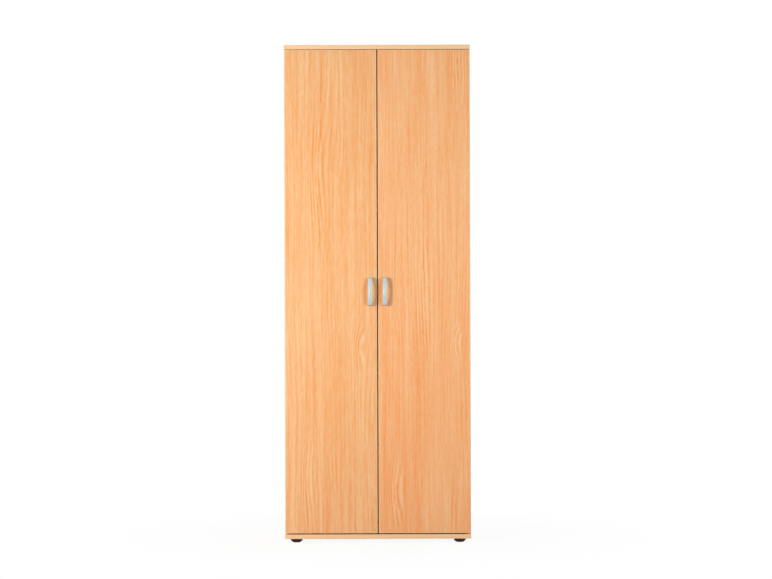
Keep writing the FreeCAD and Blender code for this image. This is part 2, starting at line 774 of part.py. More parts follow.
hinge_heights = (
    ("lower", door_low_z + S["hinge_end_offset"]),
    ("middle", door_middle_z + S["middle_hinge_rise"]),
    ("upper", door_high_z - S["hinge_end_offset"]))
hinge_pieces = (
    ("hinge_cups", make_cup),
    ("hinge_arms", make_arm),
    ("hinge_plates", make_plate),
    ("outer_links", make_outer_link),
    ("inner_links", make_inner_link))
for hand, side in (("left", -1), ("right", 1)):
    for kind, make in hinge_pieces:
        body = new_body(hand + "_" + kind)
        for level, z in hinge_heights:
            make(body, hand + "_" + level + "_" + kind, z if side < 0 else -z)
        put(body, side * inner_x, side_front_y, ZERO, side > 0)


# Doors
def make_door(hand, side):
    """A door panel with its cup bores, and its four edging strips."""
    band = S["edge_band"]
    low_x, high_x = (-door_outer_x, -door_inner_x) if side < 0 else (door_inner_x, door_outer_x)
    body = board_body(
        hand + "_door_panel",
        (low_x + band, front_y, door_low_z + band),
        (high_x - band, door_rear_y, door_high_z - band))
    bores = new_sketch(body, "XZ", hand + "_cup_bores", -door_rear_y)
    for label, z in hinge_heights:
        cup_radius = S["cup_radius"] + S["cup_play"]
        add_hole_outline(bores, side * (inner_x - cup_x), z, cup_radius, CUP_SIDES)
    pocket(body, bores, S["cup_depth"] + S["cup_play"], True)
    edging = new_body(hand + "_door_edging")
    strips = (
        ("hinge_side", low_x, low_x + band, door_low_z, door_high_z),
        ("free_side", high_x - band, high_x, door_low_z, door_high_z),
        ("bottom", low_x + band, high_x - band, door_low_z, door_low_z + band),
        ("top", low_x + band, high_x - band, door_high_z - band, door_high_z))
    for label, start_x, end_x, start_z, end_z in strips:
        edging_strip(edging, hand + "_" + label + "_edging",
                     (start_x, front_y, start_z), (end_x, door_rear_y, end_z))


def bow_line(half, name, rise):
    """One side of the bow, from the top down: leg, shoulder, arch, shoulder, leg."""
    leg = S["handle_%s_leg" % name]
    shoulder = S["handle_%s_shoulder" % name]
    radius = S["handle_%s_radius" % name]
    foot = half - S["handle_leg_lean"]
    arch = half - S["handle_%s_run" % name]
    return [
        (ZERO, half),
        (-leg, foot),
        (-shoulder, arch, radius),
        (-shoulder, -arch, arc_radius(arch * 2, rise - shoulder)),
        (-leg, -foot, radius),
        (ZERO, -half)]


def backwards(points):
    """The same outline the other way round."""
    radii = [point[2:] for point in points[1:]] + [()]
    turned = [point[:2] + tuple(-radius for radius in bend) for point, bend in zip(points, radii)]
    return turned[::-1]


def make_handle(hand, side):
    """A bow handle: an arched strap on two upright legs, waisted in the front view."""
    body = new_body(hand + "_handle")
    half = S["handle_length"] / 2
    rise = S["handle_projection"]
    half_end = S["handle_end_width"] / 2
    outside_line = bow_line(half, "outer", rise)
    inside_line = bow_line(half - S["handle_seat"], "inner", rise - S["handle_strap"])
    bow = new_sketch(body, "YZ", hand + "_handle_bow", -half_end)
    add_outline(bow, outside_line + backwards(inside_line))
    pad(body, bow, S["handle_end_width"])
    dip = half_end - S["handle_waist_width"] / 2
    outside = half_end + S["cut_overrun"]
    for label, sign in (("right", 1), ("left", -1)):
        waist = new_sketch(body, "XZ", hand + "_handle_waist_" + label, rise + S["cut_overrun"])
        add_outline(waist, [
            (sign * half_end, sign * -half, arc_radius(half * 2, dip)),
            (sign * outside, sign * -half),
            (sign * outside, sign * half),
            (sign * half_end, sign * half)])
        pocket(body, waist, rise + S["cut_overrun"] * 2)
    put(body, side * handle_x, front_y, door_middle_z)


for hand, side in (("left", -1), ("right", 1)):
    make_door(hand, side)
    make_handle(hand, side)


# Checks and export
def export_all():
    document.recompute()
    for item in document.Objects:
        if "Invalid" in item.State or "Error" in item.State:
            raise RuntimeError(item.Name + " failed: " + ", ".join(item.State))
    os.makedirs("parts", exist_ok=True)
    for body in document.Objects:
        if body.TypeId != "PartDesign::Body":
            continue
        shape = body.Shape
        if shape.isNull() or not shape.isValid():
            raise RuntimeError(body.Label + " has no valid shape")
        shape.exportStep("parts/%s.step" % body.Label)
        print("%-28s solids %2d volume %12.1f" % (body.Label, len(shape.Solids), shape.Volume))


export_all()
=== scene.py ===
import json
import math

import bmesh
import bpy
from mathutils import Matrix, Vector


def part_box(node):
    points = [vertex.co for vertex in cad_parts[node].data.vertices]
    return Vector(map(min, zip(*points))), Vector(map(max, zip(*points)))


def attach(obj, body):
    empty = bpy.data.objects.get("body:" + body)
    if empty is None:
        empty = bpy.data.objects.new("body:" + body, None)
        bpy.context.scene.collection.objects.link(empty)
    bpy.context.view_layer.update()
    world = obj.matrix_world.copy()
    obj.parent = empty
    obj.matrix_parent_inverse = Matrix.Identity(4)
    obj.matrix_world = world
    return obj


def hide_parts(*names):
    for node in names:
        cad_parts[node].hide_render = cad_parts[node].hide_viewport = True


# Tall two-door office cupboard in beech decor, with bow handles, concealed hinges and levelling feet.
# Shapes are written in millimetres and turned into metres when their mesh is made.
# Materials, lights and the camera use metres.

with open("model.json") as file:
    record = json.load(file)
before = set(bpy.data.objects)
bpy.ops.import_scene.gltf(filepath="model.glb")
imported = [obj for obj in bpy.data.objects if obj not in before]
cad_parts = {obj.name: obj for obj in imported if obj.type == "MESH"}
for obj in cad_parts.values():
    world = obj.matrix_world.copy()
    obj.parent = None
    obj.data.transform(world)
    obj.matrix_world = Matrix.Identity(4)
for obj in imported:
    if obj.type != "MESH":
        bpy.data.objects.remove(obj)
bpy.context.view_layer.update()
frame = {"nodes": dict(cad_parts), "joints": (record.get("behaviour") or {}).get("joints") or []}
nodes = frame["nodes"]
joint_places = {joint["name"]: joint["pos_m"] for joint in frame["joints"]}
MM = 0.001
SIDES = (("left", -1), ("right", 1))


# Places on the cupboard, taken from the CAD part
def corners(name):
    """The lowest and the highest corner of a CAD piece, in millimetres, to the nearest thousandth."""
    return [Vector([round(value / MM, 3) for value in corner]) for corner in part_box(name)]


side_band_low, side_band_high = corners("side_panel_edgings")
door_low, door_high = corners("right_door_edging")
handle_low, handle_high = corners("right_handle")
INNER_X = corners("right_side_panel")[0].x
SIDE_FRONT_Y = side_band_low.y
BAND = side_band_high.y - side_band_low.y
DOOR_FRONT_Y = door_low.y
DOOR_REAR_Y = door_high.y
DOOR_LOW_Z = door_low.z
DOOR_HIGH_Z = door_high.z
DOOR_MIDDLE_Z = (DOOR_LOW_Z + DOOR_HIGH_Z) / 2
HANDLE_X = (handle_low.x + handle_high.x) / 2
HANDLE_HALF = (handle_high.z - handle_low.z) / 2
HANDLE_HALF_END = (handle_high.x - handle_low.x) / 2


# Material nodes
def tone(red, green, blue):
    """A colour given as 0 to 255 on a screen, as linear light."""
    def linear(level):
        level /= 255
        return level / 12.92 if level <= 0.04045 else ((level + 0.055) / 1.055) ** 2.4

    return linear(red), linear(green), linear(blue), 1.0


class Tree:
    """The nodes of a material or of the world, made one by one."""

    def __init__(self, owner):
        self.owner = owner
        self.owner.use_nodes = True
        self.nodes = self.owner.node_tree.nodes
        self.links = self.owner.node_tree.links
        self.nodes.clear()

    def node(self, kind, inputs=None, **settings):
        """A new node; an input is either a value or another node's output."""
        made = self.nodes.new("ShaderNode" + kind)
        for key, value in settings.items():
            setattr(made, key, value)
        for key, value in (inputs or {}).items():
            if isinstance(value, bpy.types.NodeSocket):
                self.links.new(value, made.inputs[key])
            else:
                made.inputs[key].default_value = value
        return made

    def math(self, operation, first, second=0.0, third=0.0, clamp=False):
        made = self.node("Math", {0: first, 1: second, 2: third}, operation=operation, use_clamp=clamp)
        return made.outputs[0]

    def mix(self, share, first, second):
        """A colour between two; Mix has its colours at inputs 6 and 7 and gives output 2."""
        return self.node("Mix", {0: share, 6: first, 7: second}, data_type="RGBA").outputs[2]

    def ramp(self, value, low, high):
        """A smooth step from 0 at low to 1 at high."""
        made = self.node("MapRange", {0: value, 1: low, 2: high}, interpolation_type="SMOOTHSTEP")
        return made.outputs[0]

    def noise(self, where, scales, detail=2.0, roughness=0.5, shift=0.0):
        """Noise with its own scale on each axis, about -1 to 1."""
        spread = self.node("Mapping", {0: where, 1: (shift, shift * 0.7, shift * 1.3), 3: scales}).outputs[0]
        inputs = {"Vector": spread, "Scale": 1.0, "Detail": detail, "Roughness": roughness}
        return self.math("MULTIPLY_ADD", self.node("TexNoise", inputs).outputs[0], 2.0, -1.0)

    def bump(self, height, strength, depth):
        made = self.node("Bump", {"Strength": strength, "Distance": depth, "Height": height})
        return made.outputs[0]

    def surface(self, colour, roughness, normal, **fixed):
        """Ends the tree with a surface and returns its material."""
        inputs = {"Base Color": colour, "Roughness": roughness, "Normal": normal, **fixed}
        shader = self.node("BsdfPrincipled", inputs)
        end = self.node("OutputMaterial", {0: shader.outputs[0]})
        end.is_active_output = True
        return self.owner

    def seen_directly(self):
        """1 for the rays of the camera, of gloss and of transmission, which see white; 0 for light."""
        path = self.node("LightPath")
        seen = self.math("MAXIMUM", path.outputs["Is Camera Ray"], path.outputs["Is Glossy Ray"])
        return self.math("MAXIMUM", seen, path.outputs["Is Transmission Ray"])


def new_tree(name):
    return Tree(bpy.data.materials.new(name))


def grain_space(tree, across, depth, along):
    """The piece's own coordinates, in the order across the grain, through the board, along it."""
    own = tree.node("TexCoord")
    axes = tree.node("SeparateXYZ", {0: own.outputs["Object"]})
    pick = {"x": axes.outputs[0], "y": axes.outputs[1], "z": axes.outputs[2]}
    space = tree.node("CombineXYZ", {0: pick[across], 1: pick[depth], 2: pick[along]})
    return own, space.outputs[0], pick[across], pick[depth], pick[along]


# Beech decor
# Each layer of noise has its scales across the grain, through the board and along the grain,
# its detail, its roughness and its shift beside the decor's own.
LAYERS = {
    "broad": ((9, 9, 0.7), 2.0, 0.5, 0.0),
    "wander": ((5, 5, 1.1), 1.0, 0.5, 3.1),
    "medium": ((42, 42, 1.1), 3.0, 0.7, 7.7),
    "streak": ((280, 280, 2.8), 3.0, 0.75, 1.9),
    "short": ((360, 360, 28), 2.0, 0.6, 4.4),
    "fleck": ((950, 950, 95), 1.0, 0.5, 5.3),
    "patch": ((7, 7, 1.6), 1.0, 0.5, 11.0),
}
# Growth lines: their phase in radians to a metre across the grain, and what noise adds to it
RING_PHASE = 420.0
RING_WANDER = 16.0
RING_WAVER = 1.6
# How far the grain wanders, and which share of a whorl's width it is drawn in by
GRAIN_WANDER = 0.008
WHORL_PULL_SHARE = 0.9
# Where growth lines show, in steps of the patch noise and of the nearness to a whorl
PATCH_STEP = (-0.35, 0.5)
WHORL_STEP = (0.03, 0.45)
# How much each layer deepens the tone between the light and the dark one
TONE_START = 0.42
BROAD_TONE = 0.34
MEDIUM_TONE = 0.60
RING_TONE = 0.14
WHORL_RING_TONE = 0.20
SHORT_TONE = 0.62
STREAK_TONE = 1.10
# Dark dashes, and the pores pressed in under them
DASH_STEP = (0.22, 0.5)
DASH_SHARE = 0.22
PORE_STEP = (0.15, 0.45)
PORE_STREAK = 0.25
PORE_STRENGTH = 0.2
PORE_DEPTH = 0.00008
# Gloss of the melamine skin
DECOR_ROUGHNESS = 0.46
DECOR_STREAK_ROUGHNESS = 0.05
DECOR_DASH_ROUGHNESS = 0.5
DECOR_IOR = 1.32
# A face counts as facing an axis from the first to the second of these cosines
FACING_STEP = (0.6, 0.8)
DASH_TONE = tone(196, 122, 72)
END_BAND_LIGHT, END_BAND_DARK = tone(254, 206, 155), tone(250, 184, 130)
CHIP_LIGHT, CHIP_DARK, CHIP_BED = tone(224, 192, 148), tone(184, 142, 96), tone(140, 104, 68)
CHIP_SCALE = 420.0
CHIP_GRIT_SCALES = (900, 900, 900)
CHIP_BED_STEP = (-0.1, 0.8)


def chipboard(tree, own):
    """The colour of a raw chipboard edge: pale chips in a darker bed."""
    chips = tree.node("TexVoronoi", {"Vector": own.outputs["Object"], "Scale": CHIP_SCALE})
    tint = tree.mix(chips.outputs["Color"], CHIP_LIGHT, CHIP_DARK)
    grit = tree.noise(own.outputs["Object"], CHIP_GRIT_SCALES, 3.0)
    return tree.mix(tree.ramp(grit, *CHIP_BED_STEP), tint, CHIP_BED)


def beech(name, across, depth, along, light, dark, whorls=(), shift=0.0, raw=None, band=None):
    """Printed beech decor: broad bands, growth lines that bend round whorls, streaks and short flecks.

    A whorl has its place across and along, its half sizes and its turns, in metres and radians.
    Faces along the raw axis show chipboard, and those along the band axis an edge band.
    """
    tree = new_tree(name)
    own, space, u, through, v = grain_space(tree, across, depth, along)

    def layer(kind, where):
        scales, detail, roughness, offset = LAYERS[kind]
        return tree.noise(where, scales, detail, roughness, shift + offset)

    broad = layer("broad", space)
    wander = layer("wander", space)
    phase = tree.math("MULTIPLY_ADD", u, RING_PHASE, tree.math("MULTIPLY", wander, RING_WANDER))
    bent_u = tree.math("MULTIPLY_ADD", wander, GRAIN_WANDER, u)
    near = None
    for at_u, at_v, size_u, size_v, turns in whorls:
        du = tree.math("MULTIPLY", tree.math("SUBTRACT", u, at_u), 1 / size_u)
        dv = tree.math("MULTIPLY", tree.math("SUBTRACT", v, at_v), 1 / size_v)
        away = tree.math("ADD", tree.math("POWER", tree.math("ABSOLUTE", du), 2.0),
                         tree.math("POWER", tree.math("ABSOLUTE", dv), 2.0))
        hill = tree.math("EXPONENT", tree.math("MULTIPLY", away, -1.0))
        phase = tree.math("MULTIPLY_ADD", hill, turns, phase)
        pull = tree.math("MULTIPLY", du, hill)
        bent_u = tree.math("MULTIPLY_ADD", pull, -WHORL_PULL_SHARE * size_u, bent_u)
        near = hill if near is None else tree.math("MAXIMUM", near, hill)
    flow = tree.node("CombineXYZ", {0: bent_u, 1: through, 2: v}).outputs[0]
    medium = layer("medium", flow)
    streak = layer("streak", flow)
    short = layer("short", flow)
    fleck = layer("fleck", flow)
    rings = tree.math("SINE", tree.math("MULTIPLY_ADD", medium, RING_WAVER, phase))
    shown = tree.ramp(layer("patch", space), *PATCH_STEP)
    ring_tone = RING_TONE
    if near is not None:
        near = tree.ramp(near, *WHORL_STEP)
        shown = tree.math("MAXIMUM", shown, near)
        ring_tone = tree.math("MULTIPLY_ADD", near, WHORL_RING_TONE, RING_TONE)
    rings = tree.math("MULTIPLY", rings, shown)

    deep = tree.math("MULTIPLY_ADD", broad, BROAD_TONE, TONE_START)
    deep = tree.math("MULTIPLY_ADD", medium, MEDIUM_TONE, deep)
    deep = tree.math("MULTIPLY_ADD", rings, ring_tone, deep)
    deep = tree.math("MULTIPLY_ADD", short, SHORT_TONE, deep)
    deep = tree.math("MULTIPLY_ADD", streak, STREAK_TONE, deep, clamp=True)
    colour = tree.mix(deep, light, dark)
    dashes = tree.math("MULTIPLY", tree.ramp(fleck, *DASH_STEP), DASH_SHARE)
    colour = tree.mix(dashes, colour, DASH_TONE)

    normals = tree.node("SeparateXYZ", {0: own.outputs["Normal"]})
    axis_outputs = {"x": normals.outputs[0], "y": normals.outputs[1], "z": normals.outputs[2]}
    if band:
        facing = tree.ramp(tree.math("ABSOLUTE", axis_outputs[band]), *FACING_STEP)
        colour = tree.mix(facing, colour, tree.mix(deep, END_BAND_LIGHT, END_BAND_DARK))
    if raw:
        facing = tree.ramp(axis_outputs[raw], *FACING_STEP)
        colour = tree.mix(facing, colour, chipboard(tree, own))
    pressed = tree.ramp(fleck, *PORE_STEP)
    pores = tree.math("MULTIPLY_ADD", pressed, -1.0, tree.math("MULTIPLY", streak, PORE_STREAK))
    relief = tree.bump(pores, PORE_STRENGTH, PORE_DEPTH)
    dash_roughness = tree.math("MULTIPLY_ADD", dashes, DECOR_DASH_ROUGHNESS, DECOR_ROUGHNESS)
    roughness = tree.math("MULTIPLY_ADD", streak, DECOR_STREAK_ROUGHNESS, dash_roughness)
    return tree.surface(colour, roughness, relief, IOR=DECOR_IOR)


# Metal, plastic and raw wood
CLOUD_SCALES = (38, 38, 38)
CLOUD_STEP = (-0.4, 0.5)
DULL_SHARE = 0.9
POLISH_STRENGTH = 0.3
POLISH_DEPTH = 0.00002
PLASTIC_SKIN_SCALES = (1600, 1600, 1600)
PLASTIC_CLOUD_SCALES = (55, 55, 55)
PLASTIC_CLOUD_STEP = (0.0, 0.9)
PLASTIC_CLOUD_ROUGHNESS = 0.07
PLASTIC_PALER_SHARE = 1.7
PLASTIC_PALER = 0.004
PLASTIC_IOR = 1.35
SKIN_STRENGTH = 0.4
SKIN_DEPTH = 0.00005
FIBRE_SCALES = (900, 900, 40)
FIBRE_STEP = (-0.6, 0.6)
FIBRE_STRENGTH = 0.5
FIBRE_DEPTH = 0.0001
FIBRE_LIGHT, FIBRE_DARK = tone(226, 190, 140), tone(196, 152, 100)
RAW_WOOD_ROUGHNESS = 0.7


def metal(name, colour, roughness, polish_scales, spread):
    """Plated or satin metal with a fine uneven polish."""
    tree = new_tree(name)
    own = tree.node("TexCoord").outputs["Object"]
    fine = tree.noise(own, polish_scales, 4.0, 0.6)
    cloud = tree.noise(own, CLOUD_SCALES)
    shine = tree.math("MULTIPLY_ADD", cloud, spread / 2, roughness)
    shine = tree.math("MULTIPLY_ADD", fine, spread, shine)
    dull = tuple(level * DULL_SHARE for level in colour[:3]) + (1.0,)
    tint = tree.mix(tree.ramp(cloud, *CLOUD_STEP), colour, dull)
    return tree.surface(tint, shine, tree.bump(fine, POLISH_STRENGTH, POLISH_DEPTH), Metallic=1.0)


def plastic(name, colour, roughness):
    """Moulded plastic with a fine spark-eroded skin."""
    tree = new_tree(name)
    own = tree.node("TexCoord").outputs["Object"]
    skin = tree.noise(own, PLASTIC_SKIN_SCALES)
    cloud = tree.noise(own, PLASTIC_CLOUD_SCALES, 3.0)
    paler = tuple(level * PLASTIC_PALER_SHARE + PLASTIC_PALER for level in colour[:3]) + (1.0,)
    tint = tree.mix(tree.ramp(cloud, *PLASTIC_CLOUD_STEP), colour, paler)
    shine = tree.math("MULTIPLY_ADD", cloud, PLASTIC_CLOUD_ROUGHNESS, roughness)
    return tree.surface(tint, shine, tree.bump(skin, SKIN_STRENGTH, SKIN_DEPTH), IOR=PLASTIC_IOR)


def raw_wood(name, across, depth, along):
    """Turned wood without a finish."""
    tree = new_tree(name)
    own, space = grain_space(tree, across, depth, along)[:2]
    fibre = tree.noise(space, FIBRE_SCALES, 3.0, 0.6)
    colour = tree.mix(tree.ramp(fibre, *FIBRE_STEP), FIBRE_LIGHT, FIBRE_DARK)
    return tree.surface(colour, RAW_WOOD_ROUGHNESS, tree.bump(fibre, FIBRE_STRENGTH, FIBRE_DEPTH))


# The materials
# The two doors have one decor; the right door's tones, a little deeper in green and blue, are painted shade
# on the right door.
LEFT_LIGHT, LEFT_DARK = tone(249, 198, 147), tone(243, 156, 84)
RIGHT_SHADED_LIGHT, RIGHT_SHADED_DARK = tone(251, 193, 141), tone(248, 151, 80)
BOARD_LIGHT, BOARD_DARK = tone(245, 199, 152), tone(239, 160, 98)
# The edge bands' tones are paler than the boards': partly the bands' own paler colour, partly painted light
# that brightens the top and bottom strips and the other bands with them.
PALE_BAND_AND_PAINTED_LIGHT, DEEP_BAND_AND_PAINTED_LIGHT = tone(254, 210, 162), tone(253, 193, 141)
LEFT_WHORLS = (
    (-0.080, 0.850, 0.026, 0.075, 9.0),
    (-0.300, 0.275, 0.030, 0.150, 7.0),
    (-0.255, 1.560, 0.030, 0.220, 5.0))
RIGHT_WHORLS = (
    (0.335, 0.865, 0.030, 0.060, 9.0),
    (0.082, 0.215, 0.030, 0.130, 8.0),
    (0.205, 1.080, 0.034, 0.240, 6.0),
    (0.350, 2.080, 0.040, 0.110, 3.5))
left_door_decor = beech("left_door_decor", "x", "y", "z", LEFT_LIGHT, LEFT_DARK, LEFT_WHORLS, 0.4)
# The right door's decor in its shaded tones: painted shade.
right_door_shaded_decor = beech("right_door_shaded_decor", "x", "y", "z", RIGHT_SHADED_LIGHT, RIGHT_SHADED_DARK, RIGHT_WHORLS, 2.6)
side_decor = beech("side_decor", "y", "x", "z", BOARD_LIGHT, BOARD_DARK, shift=4.2, raw="y")
level_decor = beech("level_decor", "y", "z", "x", BOARD_LIGHT, BOARD_DARK, shift=6.5, raw="y", band="x")
back_decor = beech("back_decor", "x", "y", "z", BOARD_LIGHT, BOARD_DARK, shift=8.1)
# The edge bands' materials, paler partly by painted light.
upright_band_and_painted_light = beech("upright_band_and_painted_light", "x", "y", "z", PALE_BAND_AND_PAINTED_LIGHT, DEEP_BAND_AND_PAINTED_LIGHT, shift=9.4)
level_band_and_painted_light = beech("level_band_and_painted_light", "z", "y", "x", PALE_BAND_AND_PAINTED_LIGHT, DEEP_BAND_AND_PAINTED_LIGHT, shift=10.2)
handle_metal = metal("satin_handle_metal", (0.41, 0.465, 0.485, 1.0), 0.64, (700, 700, 60), 0.05)
nickel = metal("nickel_plate", (0.74, 0.72, 0.68, 1.0), 0.22, (240, 240, 240), 0.06)
zinc = metal("zinc_plate", (0.68, 0.70, 0.72, 1.0), 0.30, (180, 180, 180), 0.08)
foot_plastic = plastic("foot_plastic", (0.050, 0.014, 0.011, 1.0), 0.6)
dowel_wood = raw_wood("dowel_wood", "x", "y", "z")

# The finish of each CAD piece; hinges and shelf pins, which aren't named, are nickel-plated
FINISHES = {
    left_door_decor: ("left_door_panel",),
    right_door_shaded_decor: ("right_door_panel",),
    side_decor: ("left_side_panel", "right_side_panel"),
    level_decor: ("top_panel", "bottom_panel", "fixed_shelf", "shelf_1", "shelf_2", "shelf_3", "shelf_4"),
    back_decor: ("back_panel",),
    dowel_wood: ("dowels",),
    level_band_and_painted_light: ("top_panel_edging", "bottom_panel_edging", "shelf_edgings"),
    upright_band_and_painted_light: ("side_panel_edgings", "left_door_edging", "right_door_edging"),
    foot_plastic: ("left_front_foot", "left_rear_foot", "right_front_foot", "right_rear_foot",
                   "foot_sockets"),
    handle_metal: ("left_handle", "right_handle"),
}
finish_of = {name: finish for finish, names in FINISHES.items() for name in names}
for name, node in nodes.items():
    node.data.materials.clear()
    node.data.materials.append(finish_of.get(name, nickel))


# Mesh building
WELD = 1e-7
SHARP_ANGLE = 32
PLATE_EDGE_STEPS = 2
STRIP_EDGE_STEPS = 4
# These turn what is built along z so that it points along y or x
ALONG_Y = Matrix(((1, 0, 0, 0), (0, 0, 1, 0), (0, 1, 0, 0), (0, 0, 0, 1)))
ALONG_X = Matrix(((0, 0, 1, 0), (1, 0, 0, 0), (0, 1, 0, 0), (0, 0, 0, 1)))


class Shape:
    """Points and faces in millimetres, gathered before they become one mesh."""

    def __init__(self):
        self.points = []
        self.faces = []

    def add(self, made, place=Matrix.Identity(4)):
        points, faces = made
        first = len(self.points)
        self.points += [place @ Vector(point) for point in points]
        self.faces += [[first + index for index in face] for face in faces]
        return self


def piece(name, shape, body, material, stands_for=None, place=Matrix.Identity(4), sharp=SHARP_ANGLE):
    """One mesh of the scene, in place and riding on its body."""
    mesh = bpy.data.meshes.new(name)
    points = [(place @ point) * MM for point in shape.points]
    mesh.from_pydata(points, [], shape.faces)
    work = bmesh.new()
    work.from_mesh(mesh)
    bmesh.ops.remove_doubles(work, verts=work.verts, dist=WELD)
    bmesh.ops.recalc_face_normals(work, faces=work.faces)
    work.to_mesh(mesh)
    work.free()
    for polygon in mesh.polygons:
        polygon.use_smooth = True
    mesh.set_sharp_from_angle(angle=math.radians(sharp))
    mesh.materials.append(material)
    made = bpy.data.objects.new(name, mesh)
    bpy.context.scene.collection.objects.link(made)
    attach(made, body)
    if stands_for:
        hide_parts(stands_for)


def circle(radius, x=0.0, y=0.0, sides=48):
    turns = [step * 2 * math.pi / sides for step in range(sides)]
    return [(x + radius * math.cos(turn), y + radius * math.sin(turn)) for turn in turns]


def arc(x, y, radius, start, turn, steps=12):
    """An arc round x, y from one angle on, both angles in degrees."""
    angles = [math.radians(start + turn * step / steps) for step in range(steps + 1)]
    return [(x + radius * math.cos(angle), y + radius * math.sin(angle)) for angle in angles]


def rounded(low_x, low_y, high_x, high_y, radius, steps=6):
    """A rectangle with rounded corners, anticlockwise."""
    return (arc(high_x - radius, high_y - radius, radius, 0, 90, steps)
            + arc(low_x + radius, high_y - radius, radius, 90, 90, steps)
            + arc(low_x + radius, low_y + radius, radius, 180, 90, steps)
            + arc(high_x - radius, low_y + radius, radius, 270, 90, steps))


def plate(loops, low, high, edge):
    """An outline with holes, extruded from low to high, its edges rounded by this much."""
    curve = bpy.data.curves.new("outline", "CURVE")
    curve.dimensions = "2D"
    curve.fill_mode = "BOTH"
    curve.extrude = (high - low) / 2 - edge
    curve.bevel_depth = edge
    curve.bevel_resolution = PLATE_EDGE_STEPS
    curve.offset = -edge
    for loop in loops:
        spline = curve.splines.new("POLY")
        spline.points.add(len(loop) - 1)
        for point, (x, y) in zip(spline.points, loop):
            point.co = (x, y, 0, 1)
        spline.use_cyclic_u = True
    holder = bpy.data.objects.new("outline", curve)
    mesh = bpy.data.meshes.new_from_object(holder)
    middle = (low + high) / 2
    points = [(vertex.co.x, vertex.co.y, vertex.co.z + middle) for vertex in mesh.vertices]
    faces = [list(polygon.vertices) for polygon in mesh.polygons]
    bpy.data.objects.remove(holder)
    bpy.data.curves.remove(curve)
    bpy.data.meshes.remove(mesh)
    return points, faces


def lathe(profile, sides):
    """A profile of (radius, height) turned round the z axis; a radius of zero closes an end."""
    points, faces, rings = [], [], []
    turns = [2 * math.pi * step / sides for step in range(sides)]
    for radius, height in profile:
        ring_turns = turns if radius else turns[:1]
        rings.append(list(range(len(points), len(points) + len(ring_turns))))
        points += [(radius * math.cos(turn), radius * math.sin(turn), height) for turn in ring_turns]
    for lower, upper in zip(rings, rings[1:]):
        for step in range(sides):
            ahead = (step + 1) % sides
            if len(lower) == 1 and len(upper) > 1:
                faces.append([lower[0], upper[step], upper[ahead]])
            elif len(upper) == 1 and len(lower) > 1:
                faces.append([lower[step], lower[ahead], upper[0]])
            elif len(lower) > 1:
                faces.append([lower[step], lower[ahead], upper[ahead], upper[step]])
    return points, faces


def strip(low, high, outwards, radius):
    """An edging strip; the arrises round the face that points outwards are rounded."""
    work = bmesh.new()
    bmesh.ops.create_cube(work, size=1)
    for vertex in work.verts:
        vertex.co = Vector((high[axis] if vertex.co[axis] > 0 else low[axis] for axis in range(3)))
    work.normal_update()
    outer = max(work.faces, key=lambda face: face.normal.dot(Vector(outwards)))
    bmesh.ops.bevel(work, geom=list(outer.edges), offset=radius, segments=STRIP_EDGE_STEPS, profile=0.5,
                    affect="EDGES")
    points = [tuple(vertex.co) for vertex in work.verts]
    faces = [[vertex.index for vertex in face.verts] for face in work.faces]
    work.free()
    return points, faces


# Screw heads
CROSS_ARM_SHARE = 0.52
CROSS_WIDTH_SHARE = 0.13
CORE_SHARE = 0.97
HEAD_ROUND = 0.35
HEAD_ROUND_SHARE = 0.4
HEAD_SIDES = 40


def screw_head(radius, height, recess):
    """A low domed screw head with a cross recess, standing on z = 0."""
    arm, half = radius * CROSS_ARM_SHARE, radius * CROSS_WIDTH_SHARE
    cross = [(arm, -half), (arm, half), (half, half), (half, arm), (-half, arm), (-half, half),
             (-arm, half), (-arm, -half), (-half, -half), (-half, -arm), (half, -arm), (half, -half)]
    floor, core = height - recess, radius * CORE_SHARE
    edge = min(HEAD_ROUND, recess * HEAD_ROUND_SHARE)
    shape = Shape()
    shape.add(plate([circle(radius, sides=HEAD_SIDES), cross[::-1]], floor, height, edge))
    shape.add(lathe([(0, floor), (core, floor), (core, 0), (0, 0)], HEAD_SIDES))
    return shape.points, shape.faces


# Edge bands
FRONT, REAR_UP, REAR_DOWN = (0, -1, 0), (0, 0, 1), (0, 0, -1)
LEFTWARDS, RIGHTWARDS = (-1, 0, 0), (1, 0, 0)
OUTER_BAND_ROUND = 0.5
INNER_BAND_ROUND = 0.8

for name in ("top_panel_edging", "bottom_panel_edging"):
    low, high = corners(name)
    front_band = Shape().add(strip(low, high, FRONT, OUTER_BAND_ROUND))
    piece(name.replace("edging", "front_band"), front_band, "carcass", level_band_and_painted_light, name)

side_bands = Shape()
for start, end in ((side_band_low.x, -INNER_X), (INNER_X, side_band_high.x)):
    low = (start, side_band_low.y, side_band_low.z)
    high = (end, side_band_high.y, side_band_high.z)
    side_bands.add(strip(low, high, FRONT, INNER_BAND_ROUND))
piece("side_panel_bands", side_bands, "carcass", upright_band_and_painted_light, "side_panel_edgings")

shelf_bands = Shape()
for name in ("shelf_1", "shelf_2", "fixed_shelf", "shelf_3", "shelf_4"):
    low, high = corners(name)
    shelf_bands.add(strip((low.x, low.y - BAND, low.z), (high.x, low.y, high.z), FRONT, INNER_BAND_ROUND))
piece("shelf_bands", shelf_bands, "carcass", level_band_and_painted_light, "shelf_edgings")

for hand, _ in SIDES:
    low, high = corners(hand + "_door_edging")
    upright = Shape()
    upright.add(strip(low, (low.x + BAND, high.y, high.z), LEFTWARDS, OUTER_BAND_ROUND))
    upright.add(strip((high.x - BAND, low.y, low.z), high, RIGHTWARDS, OUTER_BAND_ROUND))
    piece(hand + "_door_upright_bands", upright, hand + "_door", upright_band_and_painted_light,
          hand + "_door_edging")
    level = Shape()
    near, far = low.x + BAND, high.x - BAND
    level.add(strip((near, low.y, low.z), (far, high.y, low.z + BAND), REAR_DOWN, OUTER_BAND_ROUND))
    level.add(strip((near, low.y, high.z - BAND), (far, high.y, high.z), REAR_UP, OUTER_BAND_ROUND))
    piece(hand + "_door_level_bands", level, hand + "_door", level_band_and_painted_light)


